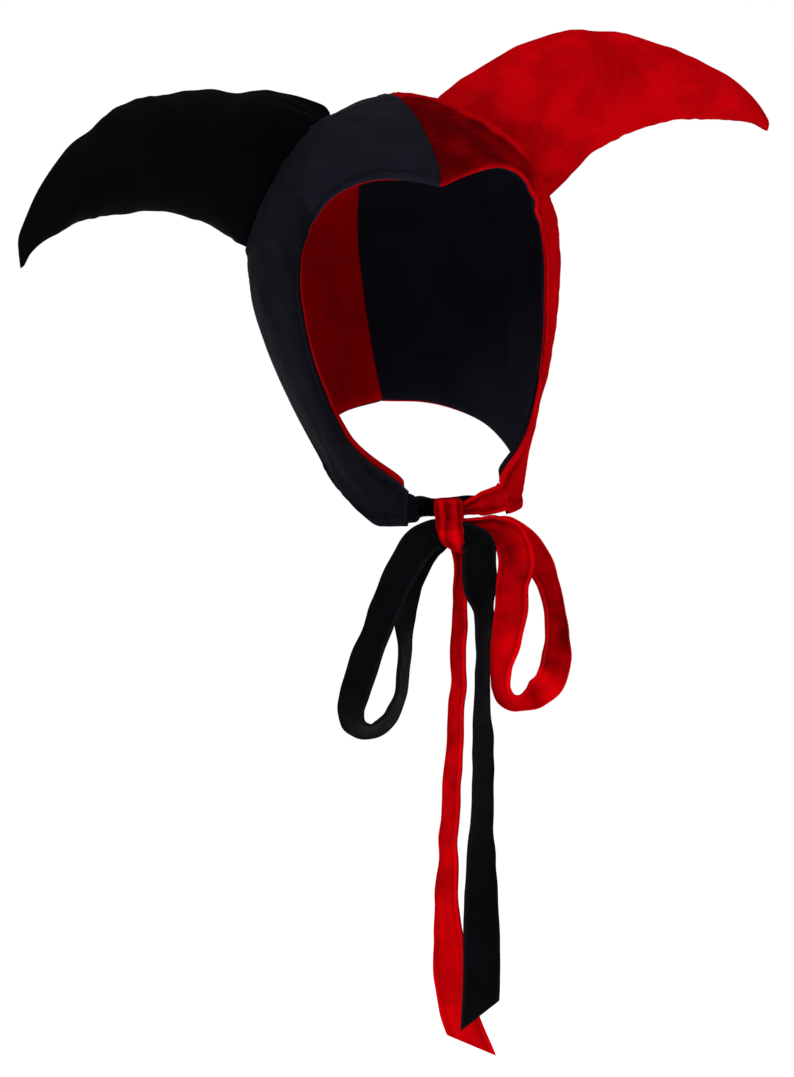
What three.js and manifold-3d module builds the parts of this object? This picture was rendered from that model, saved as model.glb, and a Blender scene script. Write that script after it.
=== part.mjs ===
// Two-colour velvet jester bonnet: lined hood, two stuffed horns, chin ties knotted in a bow.
// Millimetres. x is to the viewer's right, y to the back, z up; the origin is the crown inside the hood.
import * as THREE from 'three';
import manifoldModule from 'manifold-3d';

const wasm = await manifoldModule();
wasm.setup();

// Hood, measured on its outer face
const hoodHalfWidth = 86.5;
const hoodHalfDepth = 98;
const hoodDrop = 233;          // crown to the lower corner of a chin flap
const widestShare = 0.365;     // share of the drop at which the sides stop widening
const panelThick = 2.0;        // velvet with its seam allowance
const liningThick = 1.0;
const seamGap = 0.3;           // between neighbouring pieces
const headLean = 6.7;          // degrees the crown leans to the viewer's left
const wallThick = panelThick + seamGap + liningThick;

// Horns
const hornReach = 216;         // centre line to a tip
const hornSeatGap = 0.45;

// Ribbon of the chin ties and bow
const ribbonWidth = 21;
const ribbonThick = 2.0;
const tieOut = 1.1;            // from the edge of a flap to the start of its tie
const bowTurn = 16;            // degrees the bow faces to the viewer's left
const tailDrop = 275;          // knot to the lower end of the red tail
const loopDrop = 110;          // knot to the lowest turn of the black loop
const tieSpan = 30;            // knot to the flap of the black side
const knotBelowFlaps = 13.7;    // knot centre from the middle between the two flap ends
const knotAside = -3.5;
const knotBefore = 12.5;
const knotHalf = { across: 7.9, toward: 9, up: 16.2 };
const tailCut = { black: 17, red: 20 };

const blackVelvet = { color: 0x08080b, roughness: 0.95, metalness: 0 };
const redVelvet = { color: 0x9c0009, roughness: 0.9, metalness: 0 };
const radians = THREE.MathUtils.degToRad;
const vec = (x, y, z) => new THREE.Vector3(x, y, z);

// Reads one column of a table of rows at a key, along a smooth line through the rows
function readTable(table, column, key) {
  const rows = table.rows;
  const at = table.columns.indexOf(column);
  const last = rows.length - 1;
  if (key <= rows[0][0]) return rows[0][at];
  if (key >= rows[last][0]) return rows[last][at];
  let i = 0;
  while (rows[i + 1][0] < key) i++;
  const slope = (k) => {
    const low = Math.max(k - 1, 0), high = Math.min(k + 1, last);
    return (rows[high][at] - rows[low][at]) / (rows[high][0] - rows[low][0]);
  };
  const span = rows[i + 1][0] - rows[i][0];
  const t = (key - rows[i][0]) / span;
  const t2 = t * t, t3 = t2 * t;
  return (2 * t3 - 3 * t2 + 1) * rows[i][at] + (t3 - 2 * t2 + t) * span * slope(i)
    + (3 * t2 - 2 * t3) * rows[i + 1][at] + (t3 - t2) * span * slope(i + 1);
}

// Level sections of the hood: half sizes as shares of the widest ones
const hoodSections = {
  columns: ['below', 'side', 'front', 'back'],
  rows: [
    [0.000, 1.000, 1.00, 1.02],
    [0.176, 1.000, 1.00, 1.02],
    [0.215, 1.000, 0.93, 1.02],
    [0.258, 1.000, 0.78, 1.02],
    [0.309, 1.000, 0.65, 1.02],
    [0.365, 1.000, 0.57, 1.02],
    [0.429, 1.000, 0.52, 1.01],
    [0.515, 0.960, 0.49, 0.99],
    [0.600, 0.902, 0.51, 0.95],
    [0.687, 0.822, 0.55, 0.88],
    [0.764, 0.735, 0.59, 0.80],
    [0.815, 0.680, 0.58, 0.74],
    [0.858, 0.645, 0.54, 0.70],
    [0.901, 0.605, 0.50, 0.66],
    [0.944, 0.560, 0.52, 0.62],
    [1.000, 0.520, 0.58, 0.58],
  ],
};

const crownTop = wallThick;
const widestLevel = -widestShare * hoodDrop;

// Half sizes of the level section at height z; above the widest level they close as a dome
function sectionAt(z) {
  const below = -z / hoodDrop;
  let close = 1;
  if (z > widestLevel) {
    const rise = (z - widestLevel) / (crownTop - widestLevel);
    close = Math.pow(Math.max(1 - Math.pow(rise, 1.8), 0), 1 / 1.8);
  }
  return {
    side: hoodHalfWidth * readTable(hoodSections, 'side', below) * close,
    front: hoodHalfDepth * readTable(hoodSections, 'front', below) * close,
    back: hoodHalfDepth * readTable(hoodSections, 'back', below) * close,
  };
}

// Point of the hood at a level and a turn in degrees from straight ahead
function hoodPoint(below, turn) {
  const z = -below * hoodDrop;
  const s = sectionAt(z);
  const a = radians(turn);
  return vec(s.side * Math.sin(a), -(Math.cos(a) > 0 ? s.front : s.back) * Math.cos(a), z);
}

const hoodHeart = vec(0, 0, widestLevel - 5);

// Where a ray from the heart of the hood meets its outer face
function onHood(direction) {
  const ray = direction.clone().normalize();
  let low = 5, high = 400;
  for (let i = 0; i < 48; i++) {
    const middle = (low + high) / 2;
    const p = hoodHeart.clone().addScaledVector(ray, middle);
    let outside = p.z >= crownTop;
    if (!outside) {
      const s = sectionAt(p.z);
      const depth = p.y < 0 ? s.front : s.back;
      outside = (p.x / s.side) ** 2 + (p.y / depth) ** 2 > 1;
    }
    if (outside) high = middle; else low = middle;
  }
  return hoodHeart.clone().addScaledVector(ray, low);
}

const projectToHood = (p) => onHood(p.clone().sub(hoodHeart));

// Outward normal of the hood's outer face near a point of it
function hoodNormal(p) {
  const ray = p.clone().sub(hoodHeart).normalize();
  const one = vec(0, 0, 1).cross(ray);
  if (one.length() < 1e-6) one.set(1, 0, 0);
  one.normalize();
  const two = ray.clone().cross(one);
  const step = 0.03;
  const across = onHood(ray.clone().addScaledVector(one, step)).sub(onHood(ray.clone().addScaledVector(one, -step)));
  const along = onHood(ray.clone().addScaledVector(two, step)).sub(onHood(ray.clone().addScaledVector(two, -step)));
  const n = across.cross(along).normalize();
  return n.dot(ray) < 0 ? n.negate() : n;
}

// Edges of one half of the hood, from the centre seam to the chin flap
const faceRim = {
  columns: ['along', 'below', 'turn'],
  rows: [
    [0.00, 0.230, 0],
    [0.06, 0.207, 13.5],
    [0.13, 0.195, 29.0],
    [0.18, 0.210, 40.0],
    [0.22, 0.234, 46.0],
    [0.27, 0.273, 49.7],
    [0.33, 0.318, 52.8],
    [0.39, 0.369, 55.3],
    [0.46, 0.429, 57.0],
    [0.53, 0.494, 58.4],
    [0.61, 0.579, 60.9],
    [0.70, 0.670, 62.7],
    [0.79, 0.760, 63.5],
    [0.84, 0.807, 61.0],
    [0.90, 0.850, 51.0],
    [0.96, 0.897, 36.0],
    [1.00, 0.918, 31.0],
  ],
};
const neckEdge = {
  columns: ['along', 'below', 'turn'],
  rows: [
    [0.00, 0.708, 180],
    [0.20, 0.728, 156],
    [0.40, 0.785, 129],
    [0.60, 0.858, 105],
    [0.75, 0.926, 86],
    [0.88, 0.988, 66],
    [1.00, 0.999, 42],
  ],
};

const edgePoint = (table, along) => hoodPoint(readTable(table, 'below', along), readTable(table, 'turn', along));

// Centre seam from forehead over the crown to the nape, by turning a ray about the heart
const seamAngle = (p) => Math.atan2(p.z - hoodHeart.z, -p.y);
const seamStart = seamAngle(edgePoint(faceRim, 0));
const seamEnd = seamAngle(edgePoint(neckEdge, 0)) + 2 * Math.PI;
function centreSeam(across) {
  const a = seamStart + across * (seamEnd - seamStart);
  return onHood(vec(0, -Math.cos(a), Math.sin(a)));
}
const flapEnd = (across) => edgePoint(faceRim, 1).lerp(edgePoint(neckEdge, 1), across);

// Creases and folds, each a line on the half hood, with its half width and height in shares of rimLength
const creases = {
  columns: ['alongFrom', 'acrossFrom', 'alongTo', 'acrossTo', 'wide', 'high'],
  rows: [
    [0.285, 0.000, 0.235, 0.130, 0.0167, 0.0067],
    [0.325, 0.010, 0.275, 0.150, 0.0200, -0.0040],
    [0.380, 0.050, 0.720, 0.085, 0.0150, -0.0053],
    [0.400, 0.105, 0.700, 0.165, 0.0233, 0.0047],
    [0.850, 0.250, 0.930, 0.720, 0.0150, -0.0060],
    [0.800, 0.700, 0.900, 0.950, 0.0167, 0.0050],
    [0.100, 0.100, 0.130, 0.230, 0.0167, -0.0027],
    [0.170, 0.090, 0.190, 0.210, 0.0167, -0.0030],
    [0.060, 0.930, 0.100, 0.780, 0.0233, 0.0043],
    [0.160, 0.940, 0.190, 0.800, 0.0233, 0.0040],
    [0.270, 0.950, 0.300, 0.820, 0.0233, 0.0043],
  ],
};
const rimLength = 300;
const flapWidth = 18;
const halfSpan = (along) => rimLength * (1 - along) + flapWidth * along;

// Height of the folds at a place on the half hood
function foldHeight(along, across, strength) {
  const place = new THREE.Vector2(along * rimLength, across * halfSpan(along));
  let height = 0;
  for (const [alongFrom, acrossFrom, alongTo, acrossTo, wide, high] of creases.rows) {
    const from = new THREE.Vector2(alongFrom * rimLength, acrossFrom * halfSpan(alongFrom));
    const line = new THREE.Vector2(alongTo * rimLength, acrossTo * halfSpan(alongTo)).sub(from);
    const share = THREE.MathUtils.clamp(place.clone().sub(from).dot(line) / line.lengthSq(), 0, 1);
    const away = place.distanceTo(from.addScaledVector(line, share));
    height += high * rimLength * Math.exp(-((away / (wide * rimLength)) ** 2));
  }
  return height * strength;
}

// Place on the half hood: the four edges blended, then laid on the outer face. side is +1 or -1 in x.
function hoodPlace(along, across, side, strength) {
  const p = edgePoint(faceRim, along).multiplyScalar(1 - across)
    .addScaledVector(edgePoint(neckEdge, along), across)
    .addScaledVector(centreSeam(across), 1 - along)
    .addScaledVector(flapEnd(across), along)
    .addScaledVector(edgePoint(faceRim, 0), -(1 - along) * (1 - across))
    .addScaledVector(edgePoint(faceRim, 1), -along * (1 - across))
    .addScaledVector(edgePoint(neckEdge, 0), -(1 - along) * across)
    .addScaledVector(edgePoint(neckEdge, 1), -along * across);
  const point = projectToHood(p);
  const normal = hoodNormal(point);
  if (along === 0) normal.setX(0).normalize();
  point.addScaledVector(normal, foldHeight(along, across, strength));
  point.x = Math.max(point.x, 0) + seamGap / 2;
  return { point: vec(side * point.x, point.y, point.z), normal: vec(side * normal.x, normal.y, normal.z) };
}

// The head frame, leaned as it is worn
function lean(p) {
  const a = radians(headLean);
  return vec(p.x * Math.cos(a) - p.z * Math.sin(a), p.y, p.z * Math.cos(a) + p.x * Math.sin(a));
}

// Builds a mesh from points and triangles
function solidFrom(points, triangles) {
  const geometry = new THREE.BufferGeometry();
  geometry.setAttribute('position', new THREE.Float32BufferAttribute(points.flatMap((p) => [p.x, p.y, p.z]), 3));
  geometry.setIndex(triangles);
  let volume = 0;
  for (let i = 0; i < triangles.length; i += 3) {
    const [a, b, c] = [0, 1, 2].map((k) => points[triangles[i + k]]);
    volume += a.dot(b.clone().cross(c));
  }
  if (volume < 0) geometry.setIndex(triangles.flatMap((_, i) => (i % 3 ? [] : [triangles[i], triangles[i + 2], triangles[i + 1]])));
  return geometry;
}

// Closed sheet between an outer and an inner grid of points, with its four edges
function sheetSolid(outer, inner) {
  const rows = outer.length, cols = outer[0].length;
  const points = [...outer.flat(), ...inner.flat()];
  const triangles = [];
  const top = (i, j) => i * cols + j;
  const under = (i, j) => rows * cols + i * cols + j;
  const quad = (a, b, c, d) => triangles.push(a, b, c, a, c, d);
  for (let i = 0; i + 1 < rows; i++) {
    for (let j = 0; j + 1 < cols; j++) {
      quad(top(i, j), top(i + 1, j), top(i + 1, j + 1), top(i, j + 1));
      quad(under(i, j), under(i, j + 1), under(i + 1, j + 1), under(i + 1, j));
    }
    quad(top(i, 0), under(i, 0), under(i + 1, 0), top(i + 1, 0));
    quad(top(i, cols - 1), top(i + 1, cols - 1), under(i + 1, cols - 1), under(i, cols - 1));
  }
  for (let j = 0; j + 1 < cols; j++) {
    quad(top(0, j), top(0, j + 1), under(0, j + 1), under(0, j));
    quad(top(rows - 1, j), under(rows - 1, j), under(rows - 1, j + 1), top(rows - 1, j + 1));
  }
  return solidFrom(points, triangles);
}

// Closed body through rings of points, each end closed by further rings that shrink to a point
function ringSolid(rings) {
  const count = rings.find((r) => r.length > 1).length;
  const points = rings.flat();
  const triangles = [];
  let start = 0;
  for (let k = 0; k + 1 < rings.length; k++) {
    const next = start + rings[k].length;
    for (let i = 0; i < count; i++) {
      const j = (i + 1) % count;
      if (rings[k].length === 1) triangles.push(start, next + j, next + i);
      else if (rings[k + 1].length === 1) triangles.push(start + i, start + j, next);
      else triangles.push(start + i, start + j, next + j, start + i, next + j, next + i);
    }
    start = next;
  }
  return solidFrom(points, triangles);
}

const hoodCells = { along: 24, across: 14 };

// A layer of one half of the hood, from an outer depth to an inner depth under the hood's face
function hoodLayer(side, strength, outerDepth, innerDepth) {
  const outer = [], inner = [];
  for (let i = 0; i <= hoodCells.along; i++) {
    outer.push([]);
    inner.push([]);
    for (let j = 0; j <= hoodCells.across; j++) {
      const across = Math.pow(j / hoodCells.across, 1.5);
      const { point, normal } = hoodPlace(i / hoodCells.along, across, side, strength);
      outer[i].push(lean(point.clone().addScaledVector(normal, -outerDepth)));
      inner[i].push(lean(point.clone().addScaledVector(normal, -innerDepth)));
    }
  }
  return sheetSolid(outer, inner);
}

// Horn sections from seat to tip: reach as a share of hornReach, the rest in shares of it too,
// lean in degrees that the top of the section turns to the head; the first row is placed by the hood
const hornColumns = ['reach', 'behind', 'rise', 'half', 'depth', 'lean'];
const hornBlack = {
  columns: hornColumns,
  rows: [
    [0.255, 0.122, -0.178, 0.206, 0.125, 37.5],
    [0.343, 0.112, -0.132, 0.197, 0.138, 24.0],
    [0.415, 0.098, -0.109, 0.177, 0.134, 20.5],
    [0.522, 0.079, -0.082, 0.160, 0.125, 17.5],
    [0.629, 0.060, -0.078, 0.151, 0.116, 16.5],
    [0.748, 0.042, -0.093, 0.140, 0.106, 16.0],
    [0.825, 0.028, -0.130, 0.112, 0.088, 12.5],
    [0.878, 0.019, -0.164, 0.089, 0.065, 3.5],
    [0.923, 0.014, -0.205, 0.063, 0.046, -6.0],
    [0.960, 0.009, -0.246, 0.041, 0.030, -18.0],
    [0.991, 0.005, -0.294, 0.022, 0.016, -32.0],
    [1.004, 0.000, -0.321, 0.010, 0.008, -38.0],
  ],
};
const hornRed = {
  columns: hornColumns,
  rows: [
    [0.272, 0.120, -0.145, 0.187, 0.138, 42.5],
    [0.371, 0.111, -0.082, 0.185, 0.146, 32.0],
    [0.459, 0.097, -0.031, 0.168, 0.132, 27.0],
    [0.550, 0.079, -0.003, 0.155, 0.123, 20.0],
    [0.657, 0.060, 0.005, 0.135, 0.111, 20.5],
    [0.745, 0.042, -0.008, 0.117, 0.096, 21.0],
    [0.834, 0.028, -0.038, 0.091, 0.073, 17.5],
    [0.906, 0.014, -0.072, 0.064, 0.049, 8.5],
    [0.964, 0.005, -0.116, 0.031, 0.027, -12.5],
    [0.994, 0.000, -0.157, 0.013, 0.012, -38.0],
  ],
};

const hornCells = { around: 24, along: 15, seat: 4 };
// Middle of a horn's seat, in shares of the hood's half sizes and its drop
const hornSeats = {
  black: { side: 0.642, back: 0.269, below: 0.159 },
  red: { side: 0.679, back: 0.170, below: 0.143 },
};

// A stuffed horn: front and back faces meet in seams along its upper and lower edges; its seat lies on the hood
function horn(table, side, place) {
  const rings = [];
  const first = table.rows[0][0], last = table.rows[table.rows.length - 1][0];
  const read = (column, reach) => readTable(table, column, reach);
  const shift = vec(place.side * hoodHalfWidth, place.back * hoodHalfDepth, -place.below * hoodDrop)
    .addScaledVector(vec(first, read('behind', first), read('rise', first)), -hornReach);
  const ringAt = (share) => {
    const reach = first + (last - first) * share;
    const up = radians(read('lean', reach));
    const ring = [];
    for (let k = 0; k < hornCells.around; k++) {
      const a = (k / hornCells.around) * 2 * Math.PI;
      const pucker = 1 + 0.035 * Math.cos(9 * a + 1) * Math.exp(-((share / 0.10) ** 2));
      const tall = read('half', reach) * Math.sin(a) * pucker;
      const deep = read('depth', reach) * Math.sign(Math.cos(a)) * Math.pow(Math.abs(Math.cos(a)), 1.25) * pucker;
      ring.push(vec(reach - tall * Math.sin(up), read('behind', reach) + deep, read('rise', reach) + tall * Math.cos(up))
        .multiplyScalar(hornReach).add(shift));
    }
    return ring;
  };
  const seat = (p) => {
    const q = projectToHood(p);
    return q.addScaledVector(hoodNormal(q), hornSeatGap);
  };
  const rim = ringAt(0);
  const centre = rim.reduce((sum, p) => sum.add(p), vec(0, 0, 0)).divideScalar(rim.length);
  rings.push([seat(centre)]);
  for (let s = 1; s <= hornCells.seat; s++) {
    rings.push(rim.map((p) => seat(centre.clone().lerp(p, s / hornCells.seat))));
  }
  // The first rings stand a little farther out where the hood's side would still meet them
  const clear = (p, lift) => {
    const face = projectToHood(p);
    const short = face.distanceTo(hoodHeart) + hornSeatGap + lift - p.distanceTo(hoodHeart);
    return short > 0 ? p.addScaledVector(p.clone().sub(hoodHeart).normalize(), short) : p;
  };
  for (let s = 1; s <= hornCells.along; s++) {
    rings.push(ringAt(Math.pow(s / hornCells.along, 0.9)).map((p) => clear(p, 2 * s)));
  }
  const tip = (column) => read(column, last);
  rings.push([vec(tip('reach') + 0.004, tip('behind'), tip('rise') - 0.012).multiplyScalar(hornReach).add(shift)]);
  return ringSolid(rings.map((ring) => ring.map((p) => lean(vec(side * p.x, p.y, p.z)))));
}

// World point from a place in the bow's own plane, measured from the knot
const bowRight = vec(Math.cos(radians(bowTurn)), -Math.sin(radians(bowTurn)), 0);
const bowToward = vec(-Math.sin(radians(bowTurn)), -Math.cos(radians(bowTurn)), 0);
const flapMiddles = [-1, 1].map((side) => {
  const p = hoodPlace(1, 0.5, side, 0).point;
  return lean(p);
});
const knotCentre = flapMiddles[0].clone().lerp(flapMiddles[1], 0.5)
  .add(vec(0, 0, -knotBelowFlaps))
  .addScaledVector(bowRight, knotAside)
  .addScaledVector(bowToward, knotBefore);
function bowPoint(across, up, toward) {
  return knotCentre.clone()
    .add(vec(0, 0, up))
    .addScaledVector(bowRight, across)
    .addScaledVector(bowToward, toward);
}

// Ribbon section: across the width and through the thickness, as shares of the half sizes
const ribbonSection = [
  [-1, 0.5], [-0.82, 1], [0, 1.15], [0.82, 1], [1, 0.5],
  [1, -0.5], [0.82, -1], [0, -0.85], [-0.82, -1], [-1, -0.5],
];

// A ribbon through stations {centre, wide, width, thick}; cut slants the last end by that many millimetres
function ribbon(stations, cells, cut) {
  const path = new THREE.CatmullRomCurve3(stations.map((s) => s.centre));
  const rings = [];
  for (let k = 0; k <= cells; k++) {
    const t = k / cells;
    const at = Math.min(t * (stations.length - 1), stations.length - 1.000001);
    const i = Math.floor(at);
    const mix = THREE.MathUtils.smoothstep(at - i, 0, 1);
    const a = stations[i], b = stations[i + 1];
    const centre = path.getPoint(t);
    const tangent = path.getTangent(t);
    const wide = a.wide.clone().lerp(b.wide, mix).addScaledVector(tangent, -tangent.dot(a.wide.clone().lerp(b.wide, mix)));
    wide.normalize();
    const through = tangent.clone().cross(wide);
    const width = THREE.MathUtils.lerp(a.width, b.width, mix) / 2;
    const thick = THREE.MathUtils.lerp(a.thick, b.thick, mix) / 2;
    const slant = k === cells ? cut / 2 : 0;
    rings.push(ribbonSection.map(([w, h]) => centre.clone().addScaledVector(wide, w * width)
      .addScaledVector(through, h * thick).addScaledVector(tangent, w * slant)));
  }
  const middle = (ring) => ring.reduce((sum, p) => sum.add(p), vec(0, 0, 0)).divideScalar(ring.length);
  return ringSolid([[middle(rings[0])], ...rings, [middle(rings[rings.length - 1])]]);
}

// Stations of a ribbon drawn in the bow's plane, its places in shares of a length: gather is the share of
// the flat width it is pinched to, turn is the angle of its face away from the viewer
function bowStations(table, length) {
  const column = (row, name) => row[table.columns.indexOf(name)];
  const flat = table.rows.map((row) => new THREE.Vector2(column(row, 'across'), column(row, 'up')));
  return table.rows.map((row, i) => {
    const run = flat[Math.min(i + 1, flat.length - 1)].clone().sub(flat[Math.max(i - 1, 0)]).normalize();
    const turn = radians(column(row, 'turn'));
    const wide = bowRight.clone().multiplyScalar(-run.y * Math.cos(turn))
      .add(vec(0, 0, run.x * Math.cos(turn)))
      .addScaledVector(bowToward, Math.sin(turn));
    const gather = column(row, 'gather');
    return {
      centre: bowPoint(column(row, 'across') * length, column(row, 'up') * length, column(row, 'toward') * length),
      wide,
      width: ribbonWidth * gather,
      thick: ribbonThick * (1 + 0.9 * (1 - gather)),
    };
  });
}

const bowColumns = ['across', 'up', 'toward', 'gather', 'turn'];
const tailBlack = {
  columns: bowColumns,
  rows: [
    [0.011, -0.014, 0.016, 0.62, 0],
    [0.036, -0.018, 0.020, 0.70, 4],
    [0.058, -0.036, 0.022, 0.80, 5],
    [0.057, -0.073, 0.020, 0.90, -10],
    [0.060, -0.116, 0.016, 1.00, -30],
    [0.067, -0.168, 0.010, 1.00, -62],
    [0.066, -0.236, 0.005, 1.00, -68],
    [0.064, -0.309, 0.000, 1.00, -69],
    [0.065, -0.418, 0.000, 1.00, -60],
    [0.065, -0.498, 0.000, 1.00, -58],
    [0.062, -0.582, 0.002, 1.00, -55],
    [0.061, -0.658, 0.005, 1.00, -42],
    [0.061, -0.735, 0.011, 1.00, -28],
    [0.062, -0.815, 0.015, 1.00, -16],
    [0.062, -0.891, 0.016, 1.00, -14],
    [0.059, -0.961, 0.016, 1.00, -14],
  ],
};
const tailRed = {
  columns: bowColumns,
  rows: [
    [0.014, -0.033, -0.009, 0.40, 10],
    [0.024, -0.065, -0.011, 0.46, 25],
    [0.024, -0.102, -0.011, 0.64, 58],
    [0.021, -0.145, -0.011, 0.88, 69],
    [0.018, -0.222, -0.012, 1.00, 70],
    [0.016, -0.302, -0.015, 1.00, 71],
    [0.010, -0.429, -0.018, 1.00, 68],
    [0.005, -0.498, -0.020, 1.00, 65],
    [0.000, -0.578, -0.022, 1.00, 64],
    [-0.003, -0.658, -0.025, 1.00, 63],
    [-0.005, -0.735, -0.029, 1.00, 56],
    [-0.003, -0.815, -0.033, 1.00, 41],
    [0.004, -0.891, -0.035, 1.00, 24],
    [0.018, -0.958, -0.035, 1.00, 13],
    [0.043, -1.024, -0.035, 1.00, 8],
  ],
};
const loopBlack = {
  columns: bowColumns,
  rows: [
    [-0.018, -0.034, 0.029, 0.78, 5],
    [-0.082, -0.038, 0.031, 0.82, 8],
    [-0.150, -0.079, 0.041, 0.90, 14],
    [-0.203, -0.150, 0.055, 0.95, 26],
    [-0.264, -0.268, 0.064, 1.00, 36],
    [-0.318, -0.395, 0.064, 1.00, 40],
    [-0.373, -0.541, 0.064, 1.00, 44],
    [-0.424, -0.673, 0.055, 1.00, 37],
    [-0.464, -0.795, 0.045, 1.00, 42],
    [-0.489, -0.895, 0.027, 1.00, 48],
    [-0.468, -0.971, 0.000, 1.00, 56],
    [-0.412, -1.003, -0.032, 1.00, 66],
    [-0.345, -0.985, -0.059, 1.00, 67],
    [-0.288, -0.932, -0.077, 1.00, 71],
    [-0.250, -0.842, -0.091, 1.00, 75],
    [-0.230, -0.727, -0.091, 1.00, 75],
    [-0.221, -0.582, -0.082, 1.00, 72],
    [-0.222, -0.436, -0.073, 1.00, 59],
    [-0.209, -0.309, -0.064, 0.95, 45],
    [-0.173, -0.205, -0.050, 0.85, 32],
    [-0.123, -0.123, -0.038, 0.72, 15],
    [-0.073, -0.083, -0.031, 0.68, 8],
    [-0.018, -0.050, -0.029, 0.64, 5],
  ],
};
const loopRed = {
  columns: bowColumns,
  rows: [
    [0.018, 0.000, 0.004, 0.46, 0],
    [0.082, 0.000, 0.004, 0.48, 3],
    [0.150, 0.000, 0.006, 0.54, 6],
    [0.220, -0.004, 0.016, 0.68, 8],
    [0.292, -0.052, 0.052, 0.92, 10],
    [0.326, -0.164, 0.086, 1.00, 20],
    [0.307, -0.286, 0.091, 1.00, 33],
    [0.299, -0.409, 0.091, 1.00, 33],
    [0.277, -0.555, 0.082, 1.00, 42],
    [0.248, -0.691, 0.073, 1.00, 60],
    [0.247, -0.786, 0.055, 1.00, 66],
    [0.285, -0.843, 0.027, 1.00, 68],
    [0.354, -0.852, -0.009, 1.00, 62],
    [0.432, -0.817, -0.036, 1.00, 40],
    [0.497, -0.752, -0.055, 1.00, 36],
    [0.526, -0.648, -0.064, 1.00, 39],
    [0.528, -0.532, -0.064, 1.00, 52],
    [0.516, -0.409, -0.064, 1.00, 58],
    [0.487, -0.286, -0.059, 1.00, 55],
    [0.440, -0.177, -0.055, 1.00, 46],
    [0.368, -0.080, -0.050, 0.92, 34],
    [0.288, -0.014, -0.045, 0.74, 18],
    [0.210, 0.004, -0.044, 0.54, 8],
    [0.141, 0.004, -0.042, 0.46, 5],
    [0.073, 0.004, -0.042, 0.44, 5],
    [0.018, 0.004, -0.042, 0.42, 0],
  ],
};
// The ties between flap and knot; the first station comes from the flap itself
const tieBlack = {
  columns: bowColumns,
  rows: [
    [-0.567, 0.378, -0.100, 0.57, 10],
    [-0.333, 0.367, -0.233, 0.48, 12],
    [-0.133, 0.378, -0.353, 0.46, 10],
    [0.100, 0.400, -0.385, 0.46, 8],
    [0.300, 0.425, -0.410, 0.46, 6],
    [0.500, 0.430, -0.420, 0.42, 4],
  ],
};
const tieRed = {
  columns: bowColumns,
  rows: [
    [0.617, 0.440, -0.300, 0.66, -12],
    [0.450, 0.400, -0.170, 0.50, -8],
    [0.267, 0.345, -0.100, 0.36, -4],
    [0.100, 0.335, -0.090, 0.34, 0],
  ],
};

// The wrapped knot: a rounded lump with lengthwise wrinkles, its foot drawn to the viewer's right
function knot(extra) {
  const around = 20, levels = 12;
  const rings = [];
  for (let k = 0; k <= levels; k++) {
    const rise = Math.cos((k / levels) * Math.PI);
    const wide = Math.pow(Math.max(1 - Math.pow(Math.abs(rise), 5), 0), 1 / 5);
    if (k === 0 || k === levels) {
      rings.push([bowPoint(k ? 2.6 : 0, rise * (knotHalf.up + extra), 0)]);
      continue;
    }
    rings.push([...Array(around).keys()].map((i) => {
      const a = (i / around) * 2 * Math.PI;
      const crease = extra ? 0 : 0.35 * Math.cos(7 * a) * wide;
      const round = (c) => Math.sign(c) * Math.pow(Math.abs(c), 0.8);
      const across = round(Math.cos(a)) * ((knotHalf.across + 0.6 * rise) * wide + extra + crease * 0.5);
      const toward = round(Math.sin(a)) * (knotHalf.toward * (0.8 + 0.2 * wide) * wide + extra + crease);
      return bowPoint(across + 1.4 * (1 - rise) - 1.0, rise * (knotHalf.up + extra), toward);
    }));
  }
  return ringSolid(rings);
}

function toManifold(geometry) {
  return new wasm.Manifold(new wasm.Mesh({
    numProp: 3,
    vertProperties: Float32Array.from(geometry.attributes.position.array),
    triVerts: Uint32Array.from(geometry.index.array),
  }));
}

// The ribbon cut back to a seam gap from the knot
function seatOnKnot(geometry) {
  const mesh = toManifold(geometry).subtract(toManifold(knot(seamGap))).getMesh();
  const cut = new THREE.BufferGeometry();
  cut.setAttribute('position', new THREE.Float32BufferAttribute(mesh.vertProperties, 3));
  cut.setIndex([...mesh.triVerts]);
  return cut;
}

// A tie that starts at the end of a flap and runs to the knot
function tie(side, strength, table) {
  const [upper, mid, lower] = [0, 0.5, 1].map((across) => hoodPlace(1, across, side, strength));
  const before = hoodPlace(0.96, 0.5, side, strength).point;
  const wide = upper.point.clone().sub(lower.point);
  const across = wide.clone().normalize();
  const run = mid.point.clone().sub(before);
  run.addScaledVector(across, -run.dot(across)).normalize();
  const middle = mid.point.clone().lerp(upper.point.clone().lerp(lower.point, 0.5), 0.4)
    .addScaledVector(mid.normal, -wallThick / 2).addScaledVector(run, tieOut);
  const station = (out, share) => ({
    centre: lean(middle.clone().addScaledVector(run, out)),
    wide: lean(across),
    width: wide.length() * share,
    thick: ribbonThick,
  });
  const rest = bowStations(table, tieSpan);
  if (rest[0].wide.dot(lean(across)) < 0) rest.forEach((s) => s.wide.negate());
  return ribbon([station(0, 0.86), station(4, 0.76), ...rest], 16, 0);
}

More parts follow.
